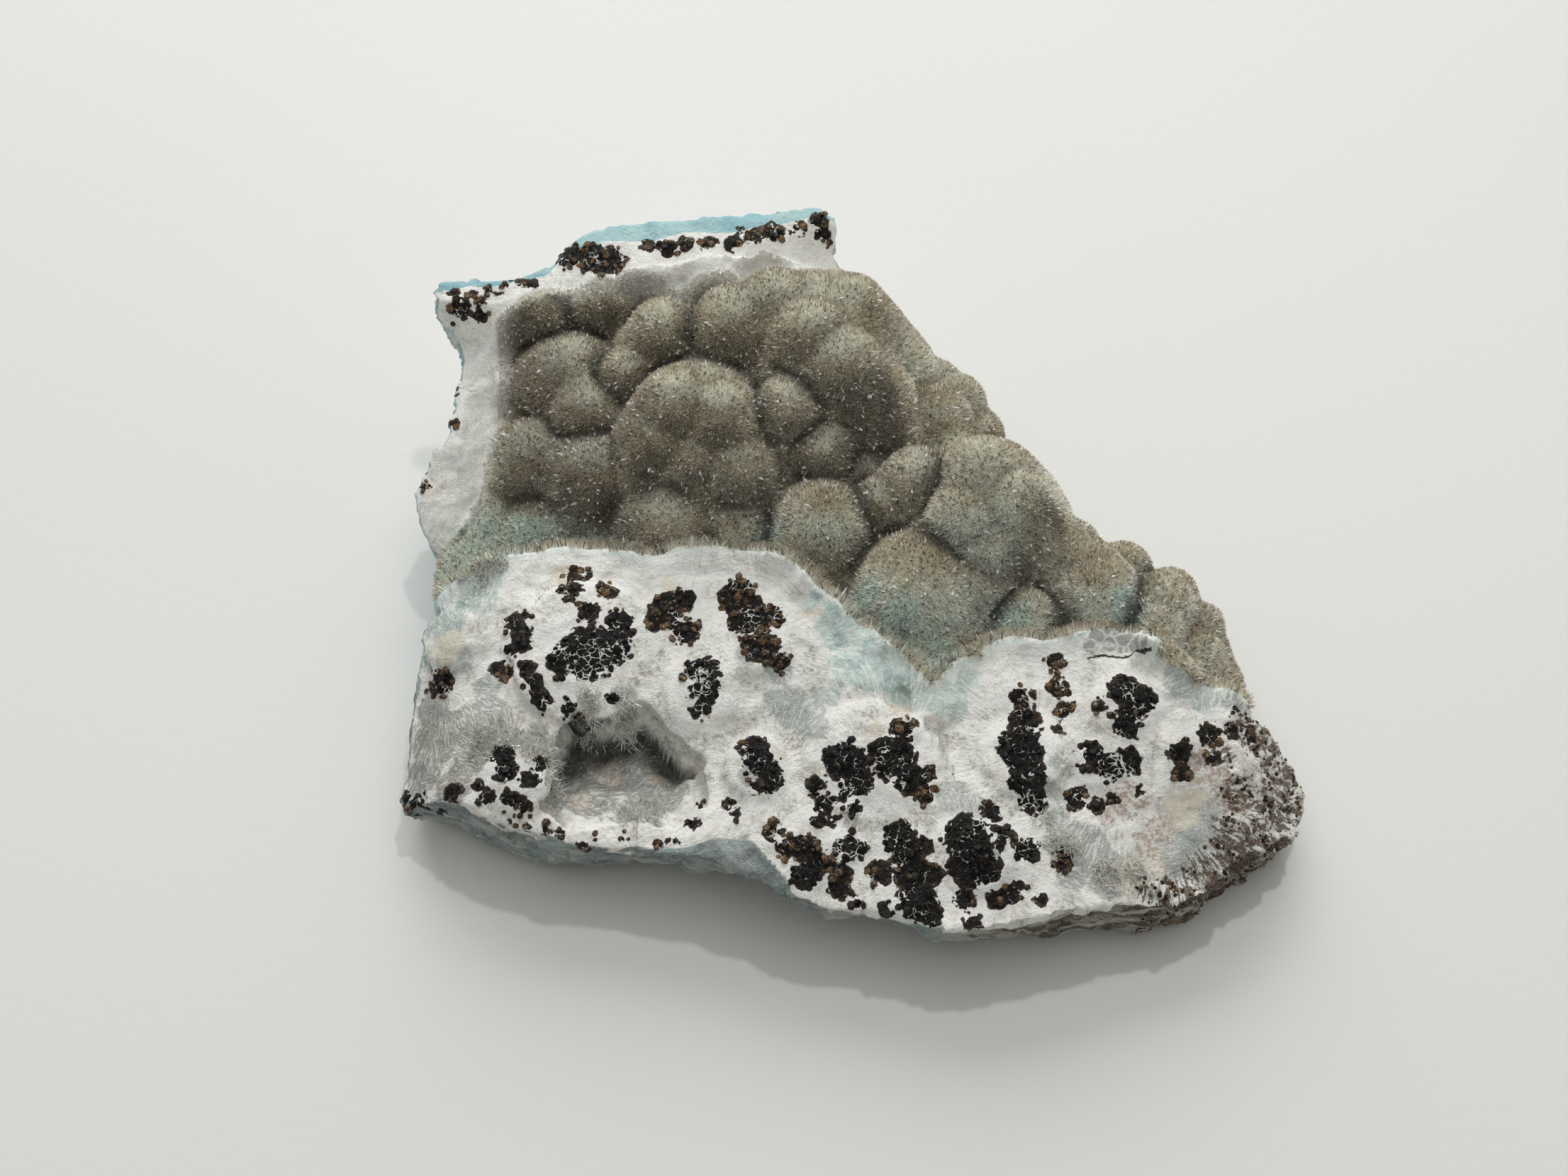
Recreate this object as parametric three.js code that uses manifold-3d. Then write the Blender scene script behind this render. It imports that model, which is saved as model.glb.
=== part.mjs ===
// Hemimorphite hand specimen: a broken plate of goethite-spotted rock whose hollow top is lined with a
// crust of rounded, druse-covered domes. Millimetres, +Z up. The front (-Y) is a gently sloping break
// that shows the cut nodules and overhangs the surface below, the back and left edges are raised broken
// rims, and the right back edge is overgrown by the crust. The origin is under the middle of the
// bounding box, on the surface it rests on.

import * as THREE from 'three';
import Module from 'manifold-3d';
import { ImprovedNoise } from 'three/addons/math/ImprovedNoise.js';
import { mergeVertices } from 'three/addons/utils/BufferGeometryUtils.js';

// ---- driving dimensions -----------------------------------------------------------------------------

const SPAN = 92;            // side of the square in which the height surfaces are laid out
const DOME_CELLS = 82;      // cells across that square for the domed surface of the crust
const ROCK_CELLS = 34;      // for the rock under it and the broken faces
const UNDER_CELLS = 20;     // and for the underside
const REAR_RIM = 20;        // height of the back rim
const REAR_STEP = 18;       // height of its lower left stretch
const CRUST = 1.5;          // thickness of the druse crust
const SEAM = 0.3;           // gap between crust and rock
const UNDERCUT = 0.35;      // how far the side walls run in, per mm below the widest height
const VUG_DEPTH = 2.6;      // depth of the hollow in the front break
const UNDER_RISE = 0.3;     // how fast the underside rises away from what it rests on

// Flat patches that the rock rests on: x, y, and half their length and width.
const restingPatches = [[2.3, 4.4, 26, 17], [29.3, -22.6, 6, 4], [-29.7, -15.6, 4, 4]];

// Plan of the rock, anticlockwise from the back left corner: x, y, and the height where it is widest.
const leftEdge = [
  [-38.2, 25.4, 15], [-36.2, 22.9, 13], [-35.7, 20.9, 12], [-36.2, 17.4, 12], [-36.7, 13.4, 12],
  [-38.2, 10.9, 11], [-39.2, 8.4, 10], [-38.7, 5.9, 9], [-37.7, 2.9, 8], [-36.7, -2.6, 8],
  [-36.7, -6.6, 8], [-37.2, -9.6, 7], [-37.7, -12.6, 6], [-37.7, -17.6, 5], [-38.5, -20.2, 4],
];
const frontEdge = [
  [-38.4, -21.4, 3.5], [-33.6, -22.4, 4.5], [-30.5, -24.1, 5], [-27.5, -25.4, 5.5], [-23.4, -26.8, 6.3],
  [-19.4, -27.1, 7], [-16.5, -27.8, 7.5], [-11.6, -28.5, 7.8], [-8.6, -29.8, 8], [-6.7, -30, 8],
  [-5.2, -31.7, 8], [-2.3, -32.9, 8], [1.5, -32.9, 8], [4.9, -33.6, 8], [7.7, -34.6, 7.6],
  [11.1, -34.4, 7.2], [14.1, -33.7, 6.6], [17.6, -32.8, 5.8], [21.2, -31.9, 4.8], [24.8, -31.8, 3.6],
  [29, -30.4, 2.6], [32.7, -27.3, 2], [36.3, -25.1, 2], [37.8, -24.1, 3], [39.3, -21.1, 4],
  [39.3, -19.1, 5], [38.3, -17.6, 6], [36.8, -16.6, 8], [34.8, -14.1, 8.5],
];
const rightEdge = [
  [33.1, -10.6, 7], [31.7, -7.2, 6.5], [30.5, -3.4, 6.5], [28.3, -0.8, 6.5], [25.3, 1, 6.5],
  [22.3, 2.8, 6.5], [19.7, 4.8, 7], [17.7, 8, 7], [15.9, 12, 7], [13.9, 16, 7], [12.3, 19.4, 7],
  [10.1, 22.4, 7], [6.9, 24.4, 8], [4.5, 25, 9.5], [2.5, 26.2, 12],
];
const rearEdge = [
  [1.8, 27.4, 16], [0.8, 29.4, 17], [-0.7, 30.9, 18], [-0.7, 33.4, 20], [-2.2, 34.4, 20],
  [-9.2, 33.4, 20], [-15.2, 32.4, 20], [-20.7, 32.4, 19.5], [-23.7, 31.4, 19.5], [-25.7, 29.9, 19.5],
  [-27.2, 28.9, 19], [-27.7, 28.4, 18], [-32.2, 27.4, 18], [-36.7, 26.9, 17.5],
];
const rockPlan = [...leftEdge, ...frontEdge, ...rightEdge, ...rearEdge];

// Heights of the hollow's floor under the crust, where there is no dome: x, y, z.
const hollowFloor = [
  [-37.7, 26.4, 16], [-34.7, 24.9, 17], [-30.7, 25.9, 18], [-28, 26.9, 18], [-25.2, 28.4, 19.5],
  [-21.7, 29.9, 20], [-14.7, 30.9, 20], [-8.7, 31.4, 20], [-2.7, 32.4, 20], [1.3, 29.4, 17],
  [-30.7, 23.7, 17.3], [-26.7, 25.6, 18],
  [-22.7, 27.2, 18.8], [-23, 24.6, 12], [-18.7, 26.6, 19], [-12.7, 27.6, 19.3],
  [-7.7, 28.6, 19.5], [-32.7, 18.9, 12.5], [-29.7, 20.2, 11], [-24.7, 21.7, 11], [-18.7, 22.7, 12.5],
  [-12.7, 24.4, 14], [-7.7, 26.4, 15], [-1.7, 27.4, 15.5], [-31.2, 14.4, 9.5], [-27.7, 15.4, 8],
  [-23.7, 10.4, 7.5], [-27.7, 7.4, 7], [-31.7, 6.4, 8], [-36.7, 3.4, 7], [-19.7, 14.4, 9],
  [-17.7, 9.4, 9], [-14.7, 13.4, 12], [-7.7, 16.4, 13], [-2.7, 19.4, 14], [1.3, 15.4, 12.5],
  [3.3, 21.4, 12], [-11.7, 5.4, 9.5], [-5.7, 4.4, 9.5], [-0.7, 7.4, 9.5], [4.3, 10.4, 9],
  [-19.7, 3.4, 7.5], [-25.7, 3.4, 7.5], [-31.7, 1.4, 7.5], [-36.7, -2.6, 7], [-21.7, 2.4, 8.5],
  [-13.7, 1.9, 9.5], [-5.7, 0.4, 10], [0.3, -2.6, 9], [6.3, -4.6, 8], [6.3, -12.1, 10],
  [10.3, -6.6, 8.5], [16.3, -6.6, 9], [22.3, -7.6, 9], [28.3, -7.6, 8.5], [31.3, -10.6, 7.5],
  [6.3, 17.4, 9], [9.3, 13.4, 9], [12.3, 8.4, 9.5], [15.3, 2.4, 8.5], [20.3, -1.6, 7.5], [25.3, -3.6, 7],
  [29.3, -6.6, 6.5], [6.3, 27.4, 8], [10.3, 23.4, 6], [14.3, 18.4, 5], [18.3, 12.4, 5], [21.3, 6.4, 5.5],
  [27.3, 1.4, 5], [33.3, -3.6, 5], [36.3, -9.6, 5], [37.3, -13.6, 5.5],
];

// Line in plan in front of which the rock stands up to the break: x, y.
const breakLine = [
  [-46, -5.6], [-11.7, -5.6], [-6.7, -7.1], [-3.7, -10.1], [-0.7, -13.6], [6.3, -17.1], [14.3, -15.6],
  [24.3, -15.6], [30.3, -18.1], [36.3, -15.1], [46, -13.6],
];

// Line in plan along which the front break meets the crust: x, y.
const crestLine = [
  [-46, -0.6], [-35.7, -1.1], [-29.7, 0.2], [-25.7, 0.9], [-10.7, 0.7], [-6.7, -0.1], [-2.7, -3.8],
  [2.3, -8.1], [6.8, -12.2], [8.3, -11.4], [11.3, -8.8], [18.3, -8.6], [25.3, -8.2], [28.3, -12.4],
  [34.3, -13.1], [46, -13.1],
];

// Inner edge of the back rim in plan: x, y.
const rimLine = [
  [-46, 22.4], [-35.7, 22.9], [-30.7, 23.7], [-26.7, 25.4], [-19, 27.4], [-9.2, 28.6], [-2.7, 29.4],
  [46, 29.9],
];

// Nodules along the crest, cut open by the front break: x, y, z, radius of the crust's outside.
const crestNodules = [
  [-28.7, -6.9, 8.8, 7.4], [-24.7, -6.2, 8.9, 7.4], [-20.7, -6.4, 9, 7.4], [-12.7, -6.3, 9.2, 7.4],
  [-8.2, -6.8, 9.2, 7.4], [-5.2, -9.9, 9, 7.4], [-0.7, -14.1, 8.5, 7.4], [14.3, -15.6, 8.6, 7.6],
  [20.8, -15.1, 9.2, 7.4], [23.5, -15, 9.2, 7], [29.8, -20.1, 8.5, 7.2],
];

// Domes of the crust: x, y, z, radius.
const domes = [
  // back right mass
  [-2.7, 21.2, 14.4, 7.1], [-6.2, 22.2, 18.6, 3.7], [-3.3, 18, 19.6, 3.6], [-0.7, 15.4, 18.5, 3.9],
  [0.3, 22.8, 17.4, 3.6], [-10.1, 20.4, 18.2, 3.8], [-12.1, 26.4, 17.6, 2.6], [-16.4, 20.4, 17.2, 3.2],
  [-5.2, 11.5, 17.6, 2.8], [-2.4, 9.3, 14.5, 3],
  // middle mass
  [-13.3, 12.4, 13.8, 6.2], [-15, 11.3, 18.2, 3.3], [-10.9, 10.2, 18.3, 3.1], [-16.7, 9.5, 16.2, 3.3],
  [-9.7, 7.2, 15, 3.3], [-13.1, 7.9, 15.4, 3],
  // left hollow
  [-25.4, 18.8, 12.1, 4.9], [-23.3, 13.7, 13.8, 3.2], [-19.6, 17.2, 15, 2.9], [-28.3, 10.9, 10.6, 4],
  [-22.7, 9.1, 11.5, 4.1], [-28.4, 26.6, 14.7, 2.8], [-22.4, 27, 16, 3], [-27.7, 5.4, 8, 3.1],
  // middle and front valley
  [-15.8, 4.7, 9.5, 5], [-9.7, 4, 10.2, 3.8], [-2.1, 2.4, 12.1, 4.4], [2.9, 4.2, 13.1, 2.4],
  [1.5, 9, 11.7, 2.4], [6.3, -3.5, 10.3, 5.7], [7.3, -6, 8.9, 4.3], [11, -2.5, 11.4, 3.6],
  // right mass and the slope behind it
  [12.3, 4.5, 13.6, 5.4], [11.9, 5, 17.2, 2.8], [14.4, 2.4, 16.4, 2.8], [10.1, 1.2, 15.6, 2.9],
  [6.4, 5.7, 14.4, 3.1], [12, -0.6, 12.8, 3.7], [4, 16, 9.9, 3.6], [8.1, 17, 8.5, 4],
  [5.4, 21.4, 10, 3.5], [10.6, 20.1, 7.6, 2.9],
  // right arm
  [22, -4.2, 10.7, 3.8], [21.3, -1.5, 10.5, 3], [18.7, -1.1, 8.9, 3.3], [15.7, -6.1, 10.4, 2.6],
  [27.2, -4.7, 9.8, 3.2], [26.7, -7.3, 11.3, 2.1], [30, -8.4, 8.4, 2.6], [30.9, -5.6, 8.4, 2.1],
];

// Domes that bulge over the overgrown right back edge: x, y, z, radius.
const edgeDomes = [
  [-1.2, 24.2, 16.5, 3.6], [1.8, 22.9, 13, 3.4], [4.8, 23.4, 8.5, 2.9], [8.9, 22.4, 7, 2.8],
  [12.3, 17.2, 6.2, 2.9], [14.9, 12.2, 6.4, 3], [17.3, 6.6, 7.2, 3], [20.3, 3.2, 7.4, 2.9],
  [24.9, 0.8, 7, 2.9], [28.5, -2, 7.4, 2.8], [30.9, -7.2, 6.6, 2.7],
];

// Area in plan that the crust can cover: x, y.
const crustArea = [
  [-32.2, 21.9], [-32.2, 13.4], [-32.5, 7.9], [-35.2, 5.9], [-35.9, 2.4], [-35.5, -6.6], [-33.7, -9.6],
  [-9.7, -9.6], [-1.7, -14.6], [3.3, -17.6], [8.3, -18.6], [12.3, -17.6], [24.3, -17.6], [31.3, -20.1],
  [36.3, -19.6], [36.3, -14.4], [44.3, -11.6], [44.3, 1.4], [30.3, 13.4], [20.3, 23.4], [9.3, 28.9],
  [4.8, 27.4], [2.3, 26], [0.8, 26.9], [-1.7, 28.4], [-9.2, 28], [-19, 26.4], [-23.7, 25.4],
  [-26.5, 24.6], [-30.7, 23],
];

// Hollow in the front break: x, y.
const vugPlan = [
  [-25.7, -23.8], [-25, -18.5], [-23.2, -14.7], [-19.7, -15.6], [-17.3, -14.2], [-15.1, -17.1],
  [-12.1, -19.5], [-11.6, -23.8], [-14.5, -25.4], [-19.4, -25], [-23.2, -25.6],
];

// ---- shape functions --------------------------------------------------------------------------------

const wasm = await Module();
wasm.setup();
const CENTRE = new THREE.Vector2(-2.7, -0.6);
const perlin = new ImprovedNoise();
const bumps = (x, y, size, seed) => perlin.noise(x / size, y / size, seed + 0.5);
const mix = THREE.MathUtils.lerp;
const ramp = (v, from, to) => THREE.MathUtils.smoothstep(v, from, to);

// Straight-line interpolation of y along a list of [x, y].
function along(line, x) {
  const i = Math.max(1, line.findIndex(([px]) => px >= x));
  const [x0, y0] = line[i - 1];
  const [x1, y1] = line[i];
  return mix(y0, y1, (x - x0) / (x1 - x0));
}

// Floor of the hollow: the given heights, blended by nearness.
function floorHeight(x, y) {
  let sum = 0;
  let weights = 0;
  for (const [px, py, pz] of hollowFloor) {
    const weight = 1 / ((x - px) ** 2 + (y - py) ** 2 + 1.2) ** 2.2;
    sum += weight * pz;
    weights += weight;
  }
  return sum / weights + 0.35 * bumps(x, y, 3.1, 4);
}

// Height of the tops of a list of spheres, shrunk by a skin: round caps that run out in cones below.
function lumpHeight(list, x, y, skin) {
  let height = -Infinity;
  for (const [px, py, pz, full] of list) {
    const radius = full - skin;
    const out = Math.hypot(x - px, y - py) / radius;
    const cap = out < 0.88 ? Math.sqrt(1 - out * out) : 0.475 - 1.85 * (out - 0.88);
    height = Math.max(height, pz + radius * cap);
  }
  return height;
}

// The broken faces, which nothing rises above: front break, left flanks, nose and back rim.
function breakHeight(x, y) {
  const grain = 0.55 * bumps(x, y, 6.5, 1) + 0.3 * bumps(x, y, 2.9, 2);
  const shoulder = 3.5 * ramp(x, 14, 30) * ramp(-y, 16.6, 30.6);
  const behind = Math.max(0, y - along(crestLine, x));
  const front = 13.2 + 0.16 * (y + 1.6) + 0.03 * x - shoulder + 2 * behind + 1.6 * grain;
  const nose = 13 - (x - 31.3) + 0.25 * (y + 14.6) + grain;
  const rim = mix(9.8, 16, ramp(y, 1.4, 20.4));
  const leftRim = rim + mix(0.3, 0.85, ramp(y, 9.4, 18.4)) * (x + 31.7) + 0.6 * grain;
  const leftFront = 11.8 + 0.9 * (x + 33.7) + 0.3 * (y + 8.6) + grain;
  const rear = mix(REAR_STEP, REAR_RIM - 0.3, ramp(x, -27.5, -26.5)) + 0.02 * (x + 13) + 0.7 * grain;
  let height = front;
  if (y > along(rimLine, x)) height = Math.min(height, rear);
  if (x > 28.3) height = Math.min(height, nose);
  if (x < -30.7 && y > 0.4 && y < 22.4) height = Math.min(height, leftRim);
  if (x < -31.7 && y < 1.4) height = Math.min(height, leftFront);
  return height;
}

// Top of the rock under the crust, before the breaks cut it.
function rockHeight(x, y) {
  if (y < along(breakLine, x) || (x < -33.1 && y > 5.4)) return 30;
  return Math.max(floorHeight(x, y), lumpHeight([...domes, ...edgeDomes, ...crestNodules], x, y, CRUST));
}

// Outside of the crust: a skin on the floor of the hollow, with the domes standing out of it.
function crustHeight(x, y) {
  const skin = floorHeight(x, y) + CRUST + 0.5 * Math.abs(bumps(x, y, 3.4, 8));
  return Math.max(skin, lumpHeight([...domes, ...crestNodules], x, y, 0));
}

// Underside: flat where it rests, rising away from there.
function underHeight(x, y) {
  const away = Math.min(...restingPatches.map(([px, py, length, width]) => (
    Math.hypot((x - px) / length, (y - py) / width) - 1) * Math.min(length, width)));
  if (away < 0) return 0;
  const pits = 0.5 * ramp(away, 0, 6) * bumps(x, y, 4, 5) ** 2;
  return UNDER_RISE * away * (1 + 0.25 * bumps(x, y, 7, 3)) + pits;
}

// ---- solids -----------------------------------------------------------------------------------------

function solidOf(geometry) {
  geometry.deleteAttribute('normal');
  geometry.deleteAttribute('uv');
  const merged = mergeVertices(geometry, 1e-4);
  return new wasm.Manifold(new wasm.Mesh({
    numProp: 3,
    vertProperties: new Float32Array(merged.attributes.position.array),
    triVerts: new Uint32Array(merged.index.array),
  }));
}

// A slab whose top and bottom follow two height functions.
function slab(cells, top, bottom) {
  const geometry = new THREE.BoxGeometry(SPAN, SPAN, 2, cells, cells, 1);
  const position = geometry.attributes.position;
  for (let i = 0; i < position.count; i++) {
    const x = position.getX(i);
    const y = position.getY(i);
    position.setZ(i, (position.getZ(i) > 0 ? top : bottom)(x, y));
  }
  return solidOf(geometry);
}

// An upright prism over a plan, grown outward by a distance or by a function of the plan's points.
// Walls of the rock run in below their widest height.
function prism(plan, from, to, steps, grow = () => 0) {
  const points = plan.map(([x, y]) => new THREE.Vector2(x, y));
  const count = points.length;
  const outward = points.map((p, i) => {
    const run = points[(i + 1) % count].clone().sub(points[(i + count - 1) % count]).normalize();
    return new THREE.Vector2(run.y, -run.x);
  });
  const geometry = new THREE.ExtrudeGeometry(new THREE.Shape(points), {
    depth: to - from, steps, bevelEnabled: false,
  });
  const position = geometry.attributes.position;
  const here = new THREE.Vector2();
  for (let i = 0; i < position.count; i++) {
    here.set(position.getX(i), position.getY(i));
    const z = position.getZ(i) + from;
    const k = points.findIndex((p) => p.distanceTo(here) < 1e-3);
    const widest = plan[k][2] ?? -Infinity;
    const below = Math.max(0, widest - 1 - z);
    const wear = below > 0 ? 0.5 + 0.5 * bumps(here.x * 1.3 + z, here.y - z, 5, 6) : 0;
    const inward = CENTRE.clone().sub(here).normalize();
    here.addScaledVector(outward[k], grow(plan[k]));
    here.addScaledVector(inward, UNDERCUT * below + wear * Math.min(1, below / 3));
    position.setXYZ(i, here.x, here.y, z);
  }
  return solidOf(geometry);
}

function ball([x, y, z, radius]) {
  return solidOf(new THREE.IcosahedronGeometry(radius, 2).translate(x, y, z));
}

// The largest connected piece of a solid, without any crumbs that a cut left beside it.
function mainPiece(solid) {
  return solid.decompose().reduce((a, b) => (b.volume() > a.volume() ? b : a));
}

function meshOf(name, solid, material) {
  const { numProp, vertProperties, triVerts } = mainPiece(solid).getMesh();
  const geometry = new THREE.BufferGeometry();
  const position = [];
  for (let i = 0; i < vertProperties.length; i += numProp) position.push(...vertProperties.slice(i, i + 3));
  geometry.setAttribute('position', new THREE.Float32BufferAttribute(position, 3));
  geometry.setIndex(Array.from(triVerts));
  geometry.computeVertexNormals();
  const mesh = new THREE.Mesh(geometry, material);
  mesh.name = name;
  return mesh;
}

// ---- rock -------------------------------------------------------------------------------------------

const below = () => -5;
const above = () => 40;
const breaks = slab(ROCK_CELLS, breakHeight, below);
const underside = slab(UNDER_CELLS, above, underHeight);
const vug = prism(vugPlan, -5, 35, 1)
  .subtract(slab(30, (x, y) => breakHeight(x, y) - VUG_DEPTH + 0.9 * bumps(x, y, 2.6, 7), () => -8));
const rock = slab(ROCK_CELLS, (x, y) => Math.min(breakHeight(x, y), rockHeight(x, y)), below)
  .intersect(prism(rockPlan, -1, 29, 6))
  .intersect(underside)
  .subtract(vug);

// ---- crust ------------------------------------------------------------------------------------------

const bed = slab(ROCK_CELLS, (x, y) => rockHeight(x, y) + SEAM, below)
  .intersect(prism(rockPlan, -6, 34, 8, () => SEAM));
const crust = edgeDomes.map(ball)
  .reduce((sum, piece) => sum.add(piece), slab(DOME_CELLS, crustHeight, below)
    .intersect(prism(rockPlan, 1.5, 29, 5, (point) => (rightEdge.includes(point) ? CRUST : -1))))
  .subtract(bed)
  .intersect(breaks)
  .intersect(prism(crustArea, 1.5, 30, 1));

// ---- scene graph ------------------------------------------------------------------------------------

const group = new THREE.Group();
group.add(
  meshOf('matrix', rock, new THREE.MeshStandardMaterial({ color: 0x8f8a80, roughness: 0.55, metalness: 0 })),
  meshOf('druse_crust', crust, new THREE.MeshStandardMaterial({
    color: 0x5c564a, roughness: 0.6, metalness: 0,
  })),
);
const box = new THREE.Box3().setFromObject(group);
const middle = box.getCenter(new THREE.Vector3());
for (const mesh of group.children) mesh.geometry.translate(-middle.x, -middle.y, -box.min.z);

export default group;
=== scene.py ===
# Hemimorphite hand specimen: a broken plate of white and grey-green rock with goethite knots, its hollow
# top lined with a domed crust that is covered with a velvet of tiny crystals.
# Tables are in millimetres, in the frame of the CAD part, and are turned into metres by MM.

import math

import bmesh
import bpy
import numpy as np
from mathutils import Matrix, Vector, noise
from mathutils.bvhtree import BVHTree
from mathutils.kdtree import KDTree


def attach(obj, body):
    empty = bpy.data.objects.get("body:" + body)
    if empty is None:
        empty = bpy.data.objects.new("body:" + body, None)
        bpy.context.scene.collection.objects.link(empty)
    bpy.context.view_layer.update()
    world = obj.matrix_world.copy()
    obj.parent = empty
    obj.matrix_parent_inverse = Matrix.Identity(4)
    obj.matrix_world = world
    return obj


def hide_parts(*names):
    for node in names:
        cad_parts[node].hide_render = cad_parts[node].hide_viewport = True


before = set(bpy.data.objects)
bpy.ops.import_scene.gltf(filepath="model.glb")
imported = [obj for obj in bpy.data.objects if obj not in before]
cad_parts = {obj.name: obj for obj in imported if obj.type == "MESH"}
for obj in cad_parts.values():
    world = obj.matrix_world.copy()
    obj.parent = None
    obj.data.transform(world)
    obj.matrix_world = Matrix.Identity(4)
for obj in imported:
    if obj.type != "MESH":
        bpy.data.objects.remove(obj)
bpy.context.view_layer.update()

MM = 0.001
VOXEL = 0.386         # size of the facets of the stone's surface
CLOSE = 0.2           # how far rock and crust grow to close the seam between them
SMOOTH_ROUNDS = 2     # rounds of smoothing that take the facets of the CAD away everywhere
DOME_ROUNDS = 4       # further rounds under the crystals
CRUST_REACH = 1.3     # how near to the CAD crust the stone has to be to carry crystals
CREASE_DEPTH = 0.7    # depth of the creases between the lobes of the crust
HOLLOW_DEPTH = 2.1    # how far the back of the front hollow is sunk below its CAD floor
FOOT = 0.55           # nothing grows on the stone lower than this
NEEDLES = 236000      # crystals of the velvet
# the wide white crystals that this draw makes are painted glints, white to stand in for sparkle
GLINT_FROM = 0.985   # a draw from 0 to 1 above this makes a crystal wide and white
DARK_UNTIL = 0.08     # and one below this makes it dark
SPRAYS = 3600         # longer white crystals
GRIT = 2200           # lumps of grit that are tried on the brown end
KNOT_STEP = 0.6       # from one goethite grain to the next
GRAIN_PIECES = 4      # pieces that the goethite grains are shared out to
PIECE_LIMIT = 190000  # triangles in one piece
FAR = 9.0             # stands for a distance that is too large to matter
SEED = 20

rng = np.random.default_rng(SEED)

# ---- where things are -------------------------------------------------------------------------------

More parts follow.
